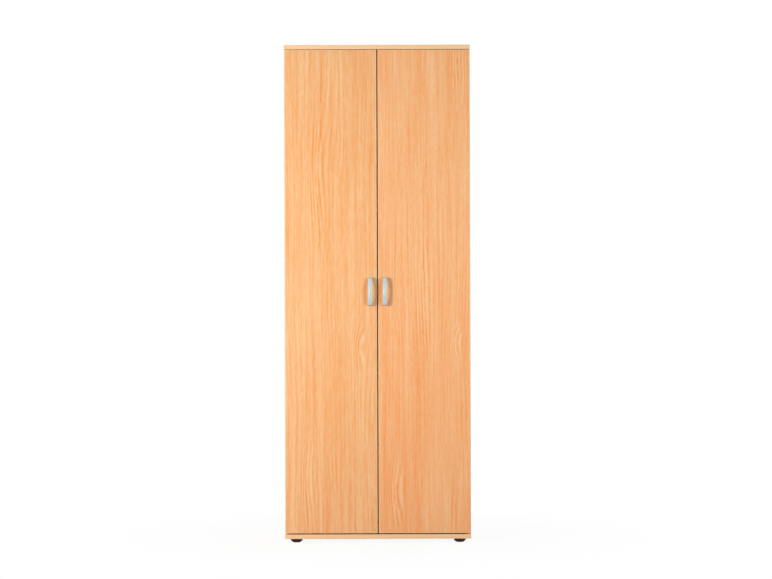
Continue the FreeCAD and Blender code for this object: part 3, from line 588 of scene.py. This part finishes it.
# Bow handles
HANDLE_RISE = 28
HANDLE_STRAP = 3.5
HANDLE_CROWN = 2.0
HANDLE_SEAT = 12
HANDLE_DIP = 1.75
HANDLE_LEG_LEAN = 0.3
HANDLE_EDGE_ROUND = 0.9
HANDLE_EDGE_SHARE = 0.45
HANDLE_SHARP_ANGLE = 50
HANDLE_OUTER = {"leg": 14.5, "shoulder": 20.5, "run": 5, "radius": 6.2}
HANDLE_INNER = {"leg": 15.5, "shoulder": 20.3, "run": 4, "radius": 5}
LEG_STEPS = 6
SHOULDER_STEPS = 12
ARCH_STEPS = 60
CROWN_STEPS = 12
CORNER_STEPS = 5
WASHER_RADIUS = 5.5
WASHER_HEIGHT = 0.6
WASHER_ROUND = (0.9, 0.25)
HANDLE_SCREW_HEAD = (4, 2.6, 1.2)


def bent(start, end, radius, steps):
    """Points of an arc that bulges to the left of the way, without its last one."""
    a, b = Vector(start), Vector(end)
    way = (b - a).normalized()
    left = Vector((-way.y, way.x))
    half_turn = math.asin((b - a).length / 2 / radius)
    centre = (a + b) / 2 - left * radius * math.cos(half_turn)
    turns = [half_turn * (2 * step / steps - 1) for step in range(steps)]
    return [tuple(centre + left * radius * math.cos(turn) + way * radius * math.sin(turn)) for turn in turns]


def bow_line(half, rise, leg, shoulder, run, radius):
    """The outer or the inner line of the bow from the top down, as (out from the door, up)."""
    foot, arch = half - HANDLE_LEG_LEAN, half - run
    shares = [step / LEG_STEPS for step in range(LEG_STEPS)]
    upper = [(leg * share, half - HANDLE_LEG_LEAN * share) for share in shares]
    upper += bent((leg, foot), (shoulder, arch), radius, SHOULDER_STEPS)
    bulge = rise - shoulder
    arch_radius = (arch ** 2 + bulge ** 2) / (2 * bulge)
    middle = bent((shoulder, arch), (shoulder, -arch), arch_radius, ARCH_STEPS)
    lower = [(out, -up) for out, up in upper[::-1]]
    return upper + middle + [(shoulder, -arch)] + lower


def bow_section(half, thick, crown):
    """A cross-section of the bow: a flat back, a crowned front and rounded edges."""
    radius = min(HANDLE_EDGE_ROUND, (thick - crown) * HANDLE_EDGE_SHARE)
    flat = half - radius
    outline = arc(flat, thick - radius, radius, 0, 90, CORNER_STEPS)
    outline += [(flat * (1 - 2 * step / CROWN_STEPS), thick) for step in range(1, CROWN_STEPS)]
    outline += arc(-flat, thick - radius, radius, 90, 90, CORNER_STEPS)
    outline += arc(-flat, radius, radius, 180, 90, CORNER_STEPS)
    outline += arc(flat, radius, radius, 270, 90, CORNER_STEPS)
    return [(x, depth - crown * (x / half) ** 2 * depth / thick) for x, depth in outline]


def bow():
    """An arched strap on two upright legs, waisted in the front view, its front crowned."""
    outer_line = bow_line(HANDLE_HALF, HANDLE_RISE, **HANDLE_OUTER)
    inner_line = bow_line(HANDLE_HALF - HANDLE_SEAT, HANDLE_RISE - HANDLE_STRAP, **HANDLE_INNER)
    points, faces = [], []
    for outer, inner in zip(outer_line, inner_line):
        half = HANDLE_HALF_END - HANDLE_DIP * (1 - (outer[1] / HANDLE_HALF) ** 2)
        across = Vector(outer) - Vector(inner)
        thick = across.length
        across.normalize()
        section = bow_section(half, thick, HANDLE_CROWN * max(across.x, 0) ** 2)
        for x, depth in section:
            spot = Vector(inner) + across * depth
            points.append((x, -spot.x, spot.y))
    ring_total = len(outer_line)
    ring_count = len(points) // ring_total
    for step in range(ring_total - 1):
        for turn in range(ring_count):
            ahead = (turn + 1) % ring_count
            first, second = step * ring_count, (step + 1) * ring_count
            faces.append([first + turn, first + ahead, second + ahead, second + turn])
    faces.append(list(range(ring_count)))
    faces.append(list(range((ring_total - 1) * ring_count, ring_total * ring_count)))
    return points, faces


def washer():
    inset, drop = WASHER_ROUND
    profile = [(0, 0), (WASHER_RADIUS, 0), (WASHER_RADIUS, WASHER_HEIGHT - drop),
               (WASHER_RADIUS - inset, WASHER_HEIGHT), (0, WASHER_HEIGHT)]
    return lathe(profile, HEAD_SIDES)


SCREW_SPACING = HANDLE_HALF - HANDLE_SEAT / 2
for hand, side in SIDES:
    place = Matrix.Translation((side * HANDLE_X, DOOR_FRONT_Y, DOOR_MIDDLE_Z))
    piece(hand + "_bow_handle", Shape().add(bow()), hand + "_door", handle_metal,
          hand + "_handle", place, HANDLE_SHARP_ANGLE)
    screws = Shape()
    for offset in (-SCREW_SPACING, SCREW_SPACING):
        spot = Matrix.Translation((side * HANDLE_X, DOOR_REAR_Y, DOOR_MIDDLE_Z + offset)) @ ALONG_Y
        screws.add(washer(), spot)
        screws.add(screw_head(*HANDLE_SCREW_HEAD), spot)
    piece(hand + "_handle_screws", screws, hand + "_door", zinc)


# Levelling feet
SOCKET_LOW_Z = corners("foot_sockets")[0].z
SOCKET_HIGH_Z = corners("foot_sockets")[1].z
SPINDLE_HIGH_Z = corners("left_front_foot")[1].z
SPINDLE_RADIUS = 5
SPINDLE_CHAMFER = (0.5, 0.6)
SPINDLE_SLOT = (3.4, 0.7)
SPINDLE_SLOT_ROUND = 0.3
SPINDLE_SLOT_DEPTH = 1.2
SPINDLE_SLOT_GAP = 0.1
SPINDLE_EDGE = 0.2
SOCKET_BORE = 5.05
SOCKET_RADIUS = 8
SOCKET_ROUND = (0.4, 0.5)
SOCKET_LEAD_IN = 0.45
GLIDE_SIDES = 96
SOCKET_SIDES = 64
# Radius and height, from the hollow under the glide round its rim to the foot of the spindle
GLIDE_PROFILE = [
    (0, 1.2), (12.0, 1.2), (13.0, 0.9), (13.6, 0.3), (14.3, 0), (15.4, 0), (16.1, 0.25), (16.7, 0.8),
    (24.2, 6.9), (25.0, 7.8), (25.4, 8.8), (25.5, 9.8), (25.5, 17.0), (25.3, 17.6), (24.8, 18.0), (12, 18.1),
    (11.4, 18.2), (SPINDLE_RADIUS, 18.2)]


def levelling_foot():
    """The glide and its spindle, with a screwdriver slot in the spindle's end."""
    inset, drop = SPINDLE_CHAMFER
    end_radius, slot_floor = SPINDLE_RADIUS - inset, SPINDLE_HIGH_Z - SPINDLE_SLOT_DEPTH
    profile = GLIDE_PROFILE + [(SPINDLE_RADIUS, SPINDLE_HIGH_Z - drop), (end_radius, SPINDLE_HIGH_Z),
                               (0, slot_floor - SPINDLE_SLOT_GAP)]
    slot_x, slot_y = SPINDLE_SLOT
    slot = rounded(-slot_x, -slot_y, slot_x, slot_y, SPINDLE_SLOT_ROUND)
    shape = Shape().add(lathe(profile, GLIDE_SIDES))
    return shape.add(plate([circle(end_radius), slot[::-1]], slot_floor, SPINDLE_HIGH_Z, SPINDLE_EDGE))


def foot_socket():
    inset, drop = SOCKET_ROUND
    profile = [(SOCKET_BORE, SOCKET_LOW_Z), (SOCKET_RADIUS, SOCKET_LOW_Z),
               (SOCKET_RADIUS, SOCKET_HIGH_Z - drop), (SOCKET_RADIUS - inset, SOCKET_HIGH_Z),
               (SOCKET_BORE + SOCKET_LEAD_IN, SOCKET_HIGH_Z),
               (SOCKET_BORE, SOCKET_HIGH_Z - SOCKET_LEAD_IN), (SOCKET_BORE, SOCKET_LOW_Z)]
    return Shape().add(lathe(profile, SOCKET_SIDES))


sockets_replaced = "foot_sockets"
for name in ("left_front_foot", "left_rear_foot", "right_front_foot", "right_rear_foot"):
    low, high = corners(name)
    place = Matrix.Translation(((low.x + high.x) / 2, (low.y + high.y) / 2, 0))
    piece(name + "_glide", levelling_foot(), name + "_glide", foot_plastic, name, place)
    piece(name + "_socket", foot_socket(), "carcass", foot_plastic, sockets_replaced, place)
    sockets_replaced = None


# Shelf pins, half in the side panel and half under the shelf
PIN_RADIUS = 2.5
PIN_REST_GAP = 0.1
PIN_SIDES = 32
PIN_PROFILE = [(0, -8), (2.1, -8), (PIN_RADIUS, -7.6), (PIN_RADIUS, 7.3), (2.3, 7.8), (1.8, 8), (0, 8)]

pins = Shape()
low, high = corners("shelf_pins")
for y in (low.y + PIN_RADIUS, high.y - PIN_RADIUS):
    for name in ("shelf_1", "shelf_2", "shelf_3", "shelf_4"):
        z = corners(name)[0].z - PIN_REST_GAP - PIN_RADIUS
        for _, side in SIDES:
            spot = Matrix.Translation((side * INNER_X, y, z)) @ ALONG_X
            pins.add(lathe(PIN_PROFILE, PIN_SIDES), spot)
piece("shelf_support_pins", pins, "carcass", nickel, "shelf_pins")


# Concealed hinges, in a frame of their own: x from the side panel's inner face into the opening,
# y from its front edge into the cupboard, z up from the hinge's middle
def pivot(joint):
    """Where a joint of the right door's hinges lies in their frame, as (x, y)."""
    x, y = joint_places[joint][:2]
    return round(INNER_X - x / MM, 3), round(y / MM - SIDE_FRONT_Y, 3)


HINGE_END = 110
MIDDLE_HINGE_RISE = 112
HINGE_HEIGHTS = (
    ("lower", DOOR_LOW_Z + HINGE_END),
    ("middle", DOOR_MIDDLE_Z + MIDDLE_HINGE_RISE),
    ("upper", DOOR_HIGH_Z - HINGE_END))
ARM_PIVOT = pivot("right_outer_link_pivot")
REAR_PIVOT = pivot("right_inner_link_pivot")
CUP_PIVOT = pivot("right_door_pivot")
SLOT_PIVOT = (-4.9, -5.1)
DOOR_FACE = DOOR_REAR_Y - SIDE_FRONT_Y

# Pivot pins
PIVOT = 1.25
PIVOT_RING_SHARE = 0.8
PIVOT_SIDES = 24

# Cup: the pressed shell, the flange with its wings and the lugs of the slot's pin
CUP_X = 6.0
CUP_RADIUS = 17.5
CUP_DEPTH = 13
CUP_WALL = 0.8
CUP_OUTER_BEND = ((1.6, 0), (0.4, 0.4), (0, 1.4))
CUP_INNER_BEND = ((0, 2.6), (0.5, 1.4), (1.7, 0.8))
CUP_SIDES = 120
NOTCH_DEPTH = 4.5
NOTCH_ANGLE = 157.5
FLANGE = 1
FLANGE_RADIUS = 19
FLANGE_ROUND = 0.28
FLANGE_OUTER_ANGLE = 160
FLANGE_INNER_ANGLE = 157.1
FLANGE_OUTER_STEPS = 160
FLANGE_INNER_STEPS = 80
WING_HALF_WIDTH = 7.5
WING_REACH = 28
WING_ROUND = 4
REACH_LIMIT = 40.0
REACH_HALVINGS = 30
LUG = 0.8
LUG_INNER = 2.1
LUG_MARGIN = 2
LUG_SINK = 0.4
LUG_ROUND = 0.15
SLOT_PIN_HALF = 2.5
CUP_PIN_REACH = 13.0

# Arm: two cheeks and a web with a slot and a hole
ARM_LOW = 4
ARM_HIGH = 20.6
ARM_END = 58
ARM_HALF = 6.4
ARM_WALL = 1.2
ARM_ROUND = 0.3
ARM_NOSE = 2.8
ARM_CORNER = 1
ARM_WEB_START = -3.6
ARM_WEB_END = 57.8
ARM_WEB_HALF = 6.1
ARM_WEB_SINK = 0.1
ARM_CHEEK_FRONT = -4
ARM_CHEEK_SLOPE = [(ARM_LOW, 14.5), (4.3, 13.5), (12.5, 0)]
ARM_SLOT_NEAR, ARM_SLOT_FAR, ARM_SLOT_HALF, ARM_SLOT_STEPS = 44, 50, 2.6, 8
ARM_HOLE_Y, ARM_HOLE_RADIUS = 12, 2.2
ARM_PIN_HALF = 6.9

# Mounting plate and its rail, out from the side panel
PLATE_NEAR, PLATE_FAR, PLATE_HALF, PLATE_CORNER, PLATE_HIGH = 29, 45, 26, 5, 2.2
RAIL_NEAR, RAIL_FAR, RAIL_HALF, RAIL_CORNER, RAIL_HIGH = 20, 57.6, 4.9, 1, 19.1
PLATE_ROUND = 0.5
SEAT_GAP = 0.02

# Screws: where each head stands, and its radius, height and recess
ARM_SCREWS = (
    ((2.0, 37, -16), (4.2, 1.9, 1.0)),
    ((2.0, 37, 16), (4.2, 1.9, 1.0)),
    ((20.3, 47, 0), (3.6, 1.5, 0.9)),
    ((20.3, 12, 0), (2.9, 1.2, 0.8)),
    ((20.3, 28, 0), (2.3, 0.8, 0.6)))
CUP_SCREWS = (
    ((CUP_X, -1.1, -23.4), (3.6, 1.3, 0.8)),
    ((CUP_X, -1.1, 23.4), (3.6, 1.3, 0.8)))

# Links
LINK_END = 2.4
LINK_BORE = 1.3
LINK_BORE_SIDES = 24
KNEE_SHARE = 0.51
KNEE_UNDER = ((-1.5, 1.0), (0, 1.1), (1.5, 1.0))
KNEE_OVER = ((1.5, 3.8), (0, 4.1), (-1.5, 3.9))
OUTER_LINK_INNER = 3.2
OUTER_LINK_PLATE = 1.5
OUTER_LINK_ROUND = 0.25
LINK_WEB_START, LINK_WEB_END, LINK_WEB_HALF, LINK_WEB_CORNER = -1.6, 4, 3.4, 0.4
LINK_WEB_LOW, LINK_WEB_HIGH, LINK_WEB_ROUND = 1.45, 2.35, 0.15
INNER_LINK_HALF = 1.8
INNER_LINK_ROUND = 0.3
SLOT_NEAR, SLOT_FAR, SLOT_HALF, SLOT_END = 19.4, 23.2, 1.95, 2.95
WAIST_UNDER = [(14.4, 0.8), (16.4, 0.4)]
WAIST_OVER = [(14.4, 3.4), (8, 1.6)]


def pin(place, low, high):
    """A pivot pin along z."""
    profile = [(0, low), (PIVOT, low), (PIVOT, high), (PIVOT * PIVOT_RING_SHARE, high), (0, high)]
    points, faces = lathe(profile, PIVOT_SIDES)
    return [(x + place[0], y + place[1], z) for x, y, z in points], faces


def cup_flange():
    """The flange round the cup: a disc joined to two wings, open at the notch."""
    def inside(x, y):
        if math.hypot(x, y) <= FLANGE_RADIUS:
            return True
        over_x = max(abs(x) - (WING_HALF_WIDTH - WING_ROUND), 0)
        over_y = max(abs(y) - (WING_REACH - WING_ROUND), 0)
        in_wing = abs(x) <= WING_HALF_WIDTH and abs(y) <= WING_REACH
        return in_wing and math.hypot(over_x, over_y) <= WING_ROUND

    def reach(angle):
        near, far = 0.0, REACH_LIMIT
        for _ in range(REACH_HALVINGS):
            middle = (near + far) / 2
            if inside(middle * math.cos(angle), middle * math.sin(angle)):
                near = middle
            else:
                far = middle
        return near

    def angles(first, steps):
        return [math.radians(first - 2 * first * step / steps) for step in range(steps + 1)]

    bore = CUP_RADIUS - CUP_WALL
    loop = [(CUP_X + reach(angle) * math.cos(angle), reach(angle) * math.sin(angle))
            for angle in angles(-FLANGE_OUTER_ANGLE, FLANGE_OUTER_STEPS)]
    loop += [(CUP_X + bore * math.cos(angle), bore * math.sin(angle))
             for angle in angles(FLANGE_INNER_ANGLE, FLANGE_INNER_STEPS)]
    return plate([loop], DOOR_FACE, DOOR_FACE + FLANGE, FLANGE_ROUND)


def cup_shell():
    """The pressed cup, its rim lowered at the notch."""
    floor, bore = DOOR_FACE - CUP_DEPTH, CUP_RADIUS - CUP_WALL
    profile = [(0, floor)] + [(CUP_RADIUS - inset, floor + rise) for inset, rise in CUP_OUTER_BEND]
    profile += [(CUP_RADIUS, DOOR_FACE), (bore, DOOR_FACE)]
    profile += [(bore - inset, floor + rise) for inset, rise in CUP_INNER_BEND]
    points, faces = lathe(profile + [(0, floor + CUP_WALL)], CUP_SIDES)
    lowered = []
    for x, y, height in points:
        angle = abs(math.degrees(math.atan2(y, x)))
        at_notch = height == DOOR_FACE and angle > NOTCH_ANGLE
        lowered.append((x + CUP_X, y, DOOR_FACE - NOTCH_DEPTH if at_notch else height))
    return lowered, faces


def hinge_cup(shape, place):
    """The cup with its flange, the lugs inside it and the pins of the two links."""
    shape.add(cup_flange(), place @ ALONG_Y)
    shape.add(cup_shell(), place @ ALONG_Y)
    x, y = SLOT_PIVOT
    foot = DOOR_FACE - CUP_DEPTH + LUG_SINK
    outline = [(x - LUG_MARGIN, foot), (x + LUG_MARGIN, foot)] + arc(x, y, LUG_MARGIN, 0, 180)
    for low in (LUG_INNER, -LUG_INNER - LUG):
        shape.add(plate([outline], low, low + LUG, LUG_ROUND), place)
    shape.add(pin(SLOT_PIVOT, -SLOT_PIN_HALF, SLOT_PIN_HALF), place)
    shape.add(pin(CUP_PIVOT, SLOT_PIN_HALF, CUP_PIN_REACH), place)
    shape.add(pin(CUP_PIVOT, -CUP_PIN_REACH, -SLOT_PIN_HALF), place)


def hinge_arm(shape, place):
    """Two cheeks, the web between them and the pins through its nose."""
    x, y = ARM_PIVOT
    outline = arc(x, y, ARM_NOSE, 180, 180) + [(ARM_HIGH, ARM_CHEEK_FRONT)]
    outline += [(ARM_HIGH, ARM_END - ARM_CORNER), (ARM_HIGH - ARM_CORNER, ARM_END)]
    outline += [(ARM_LOW + ARM_CORNER, ARM_END), (ARM_LOW, ARM_END - ARM_CORNER)] + ARM_CHEEK_SLOPE
    for low in (ARM_HALF - ARM_WALL, -ARM_HALF):
        shape.add(plate([outline], low, low + ARM_WALL, ARM_ROUND), place)
    web = rounded(ARM_WEB_START, -ARM_WEB_HALF, ARM_WEB_END, ARM_WEB_HALF, ARM_WALL)
    slot = arc(ARM_SLOT_NEAR, 0, ARM_SLOT_HALF, 90, 180, ARM_SLOT_STEPS)
    slot += arc(ARM_SLOT_FAR, 0, ARM_SLOT_HALF, 270, 180, ARM_SLOT_STEPS)
    hole = circle(ARM_HOLE_RADIUS, ARM_HOLE_Y, 0, LINK_BORE_SIDES)
    web_high = ARM_HIGH - ARM_WEB_SINK
    web_plate = plate([web, slot[::-1], hole[::-1]], web_high - ARM_WALL, web_high, ARM_ROUND)
    shape.add(web_plate, place @ ALONG_X)
    for spot in (ARM_PIVOT, REAR_PIVOT):
        shape.add(pin(spot, -ARM_PIN_HALF, ARM_PIN_HALF), place)


def hinge_plate(shape, place):
    """The cross-shaped mounting plate with the rail under the arm."""
    wings = rounded(PLATE_NEAR, -PLATE_HALF, PLATE_FAR, PLATE_HALF, PLATE_CORNER)
    rail = rounded(RAIL_NEAR, -RAIL_HALF, RAIL_FAR, RAIL_HALF, RAIL_CORNER)
    shape.add(plate([wings], SEAT_GAP, PLATE_HIGH, PLATE_ROUND), place @ ALONG_X)
    shape.add(plate([rail], SEAT_GAP, RAIL_HIGH, PLATE_ROUND), place @ ALONG_X)


def between(first, second):
    """The place of a link whose x axis runs from one pivot to another, and its length."""
    across, along = second[0] - first[0], second[1] - first[1]
    turn = Matrix.Rotation(math.atan2(along, across), 4, "Z")
    return Matrix.Translation((first[0], first[1], 0)) @ turn, math.hypot(across, along)


def hinge_outer_link(shape, place):
    """Two plates with a knee that clears the cup's rim, joined by a web behind the arm's pin."""
    local, length = between(ARM_PIVOT, CUP_PIVOT)
    knee = length * KNEE_SHARE
    outline = arc(0, 0, LINK_END, 90, 180) + [(knee + x, y) for x, y in KNEE_UNDER]
    outline += arc(length, 0, LINK_END, -90, 180) + [(knee + x, y) for x, y in KNEE_OVER]
    holes = [circle(LINK_BORE, x, 0, LINK_BORE_SIDES)[::-1] for x in (0, length)]
    for low in (OUTER_LINK_INNER, -OUTER_LINK_INNER - OUTER_LINK_PLATE):
        link_plate = plate([outline] + holes, low, low + OUTER_LINK_PLATE, OUTER_LINK_ROUND)
        shape.add(link_plate, place @ local)
    web = rounded(LINK_WEB_START, -LINK_WEB_HALF, LINK_WEB_END, LINK_WEB_HALF, LINK_WEB_CORNER)
    shape.add(plate([web], LINK_WEB_LOW, LINK_WEB_HIGH, LINK_WEB_ROUND), place @ local @ ALONG_Y)


def hinge_inner_link(shape, place):
    """A waisted link with a slot for the cup's second pin."""
    local = between(REAR_PIVOT, SLOT_PIVOT)[0]
    outline = arc(0, 0, LINK_END, 90, 180) + WAIST_UNDER
    outline += arc(SLOT_NEAR, 0, SLOT_END, 225, 45, 4) + arc(SLOT_FAR, 0, SLOT_END, -90, 180)
    outline += [(SLOT_NEAR, SLOT_END)] + WAIST_OVER
    slot = arc(SLOT_FAR, 0, SLOT_HALF, -90, 180) + arc(SLOT_NEAR, 0, SLOT_HALF, 90, 180)
    bore = circle(LINK_BORE, 0, 0, LINK_BORE_SIDES)
    link_plate = plate([outline, bore[::-1], slot[::-1]], -INNER_LINK_HALF, INNER_LINK_HALF, INNER_LINK_ROUND)
    shape.add(link_plate, place @ local)


def screw_set(screws, place, way):
    """The heads of a group of screws, all turned the same way."""
    shape = Shape()
    for spot, head in screws:
        shape.add(screw_head(*head), place @ Matrix.Translation(spot) @ way)
    return shape


# A hinge's piece, what makes it, its body (None for the carcass) and its CAD piece, after the hand's name
HINGE_PIECES = (
    ("cup", hinge_cup, "_door", "_hinge_cups"),
    ("arm", hinge_arm, None, "_hinge_arms"),
    ("plate", hinge_plate, None, "_hinge_plates"),
    ("outer_link", hinge_outer_link, "_outer_link_set", "_outer_links"),
    ("inner_link", hinge_inner_link, "_inner_link_set", "_inner_links"))

for hand, side in SIDES:
    for level, height in HINGE_HEIGHTS:
        place = Matrix.Translation((side * INNER_X, SIDE_FRONT_Y, height)) @ Matrix.Diagonal((-side, 1, 1, 1))
        label = "_".join((hand, level, "hinge"))
        for part, make, body, node in HINGE_PIECES:
            shape = Shape()
            make(shape, place)
            piece(label + "_" + part, shape, hand + body if body else "carcass", nickel,
                  hand + node if level == "lower" else None)
        piece(label + "_arm_screws", screw_set(ARM_SCREWS, place, ALONG_X), "carcass", zinc)
        piece(label + "_cup_screws", screw_set(CUP_SCREWS, place, ALONG_Y), hand + "_door", zinc)


# Floor and light
FLOOR_HALF = 9.0
FLOOR_TINT = (0.51, 0.27, 0.25, 1)
FLOOR_SEEN = (0.92, 0.92, 0.92, 1)
FLOOR_WHITE_SHARE = 0.93
FLOOR_WHITE_STEP = (0.45, 1.5)
WHITE = (1, 1, 1, 1)
FRONT_LIGHT = (0.20, 0.11, 0.10, 1)
REAR_LIGHT = (1.05, 1.02, 1.0, 1)
REAR_STEP = (-0.05, 0.4)
LAMPS = (
    {"name": "key", "place": (-2.5, -2.6, 1.36), "target": (0, -0.19, 1.12), "size": (0.65, 0.8),
     "power": 90.5, "colour": (0.942, 1.0, 0.92)},
    {"name": "fill", "place": (2.1, -2.6, 1.4), "target": (0, -0.19, 1.15), "size": (0.5, 0.7),
     "power": 59, "colour": (0.475, 0.85, 1.0)})


def make_floor():
    """A floor that is nearly white to the camera, keeps a soft shadow and throws a warm light back."""
    mesh = bpy.data.meshes.new("floor")
    sides = ((-FLOOR_HALF, -FLOOR_HALF), (FLOOR_HALF, -FLOOR_HALF), (FLOOR_HALF, FLOOR_HALF),
             (-FLOOR_HALF, FLOOR_HALF))
    mesh.from_pydata([(x, y, 0) for x, y in sides], [], [(0, 1, 2, 3)])
    floor = bpy.data.objects.new("floor", mesh)
    bpy.context.scene.collection.objects.link(floor)
    tree = new_tree("studio_floor")
    seen = tree.seen_directly()
    own = tree.node("TexCoord")
    away = tree.node("VectorMath", {0: own.outputs["Object"]}, operation="LENGTH").outputs["Value"]
    far = tree.ramp(away, *FLOOR_WHITE_STEP)
    share = tree.math("MULTIPLY_ADD", far, 1 - FLOOR_WHITE_SHARE, FLOOR_WHITE_SHARE)
    matt = tree.node("BsdfDiffuse", {"Color": tree.mix(seen, FLOOR_TINT, FLOOR_SEEN)})
    white = tree.node("Emission", {"Color": WHITE, "Strength": 1.0})
    share = tree.math("MULTIPLY", seen, share)
    both = tree.node("MixShader", {0: share, 1: matt.outputs[0], 2: white.outputs[0]})
    tree.node("OutputMaterial", {0: both.outputs[0]})
    mesh.materials.append(tree.owner)


def make_world():
    """Studio light, stronger behind the cupboard than in front of it; white to the camera and in gloss."""
    world = bpy.data.worlds.new("studio")
    bpy.context.scene.world = world
    tree = Tree(world)
    seen = tree.seen_directly()
    sight = tree.node("TexCoord")
    axes = tree.node("SeparateXYZ", {0: sight.outputs["Generated"]})
    tint = tree.mix(tree.ramp(axes.outputs[1], *REAR_STEP), FRONT_LIGHT, REAR_LIGHT)
    studio = tree.node("Background", {"Color": tint, "Strength": 1.0})
    white = tree.node("Background", {"Color": WHITE, "Strength": 1.0})
    both = tree.node("MixShader", {0: seen, 1: studio.outputs[0], 2: white.outputs[0]})
    tree.node("OutputWorld", {0: both.outputs[0]})


def make_lamp(name, place, target, size, power, colour):
    """A soft rectangular lamp that the camera doesn't see."""
    lamp = bpy.data.lights.new(name, "AREA")
    lamp.shape = "RECTANGLE"
    lamp.size, lamp.size_y = size
    lamp.energy = power
    lamp.color = colour
    holder = bpy.data.objects.new(name, lamp)
    holder.visible_camera = False
    holder.location = place
    holder.rotation_euler = (Vector(target) - Vector(place)).to_track_quat("-Z", "Y").to_euler()
    bpy.context.scene.collection.objects.link(holder)


make_floor()
make_world()
for lamp in LAMPS:
    make_lamp(**lamp)


# Camera: the photograph's frame, at the scale of the doors' front
PHOTO_WIDTH = 772
PHOTO_CUPBOARD_X = 377.5
MM_PER_PIXEL = 4.301
VIEW_DISTANCE = 10.0
EYE_HEIGHT = 1.0908
VIEW_ROLL = -0.17
SENSOR = 36
CLIP_END = 60

camera = bpy.data.cameras.new("camera")
camera.sensor_width = SENSOR
camera.lens = SENSOR * VIEW_DISTANCE / (PHOTO_WIDTH * MM_PER_PIXEL * MM)
camera.clip_end = CLIP_END
viewer = bpy.data.objects.new("camera", camera)
eye_x = (PHOTO_WIDTH / 2 - PHOTO_CUPBOARD_X) * MM_PER_PIXEL * MM
viewer.location = (eye_x, DOOR_FRONT_Y * MM - VIEW_DISTANCE, EYE_HEIGHT)
upright = Matrix.Rotation(math.radians(90), 4, "X")
viewer.rotation_euler = (upright @ Matrix.Rotation(math.radians(VIEW_ROLL), 4, "Z")).to_euler()
bpy.context.scene.collection.objects.link(viewer)
bpy.context.scene.camera = viewer
bpy.context.scene.view_settings.view_transform = "Standard"
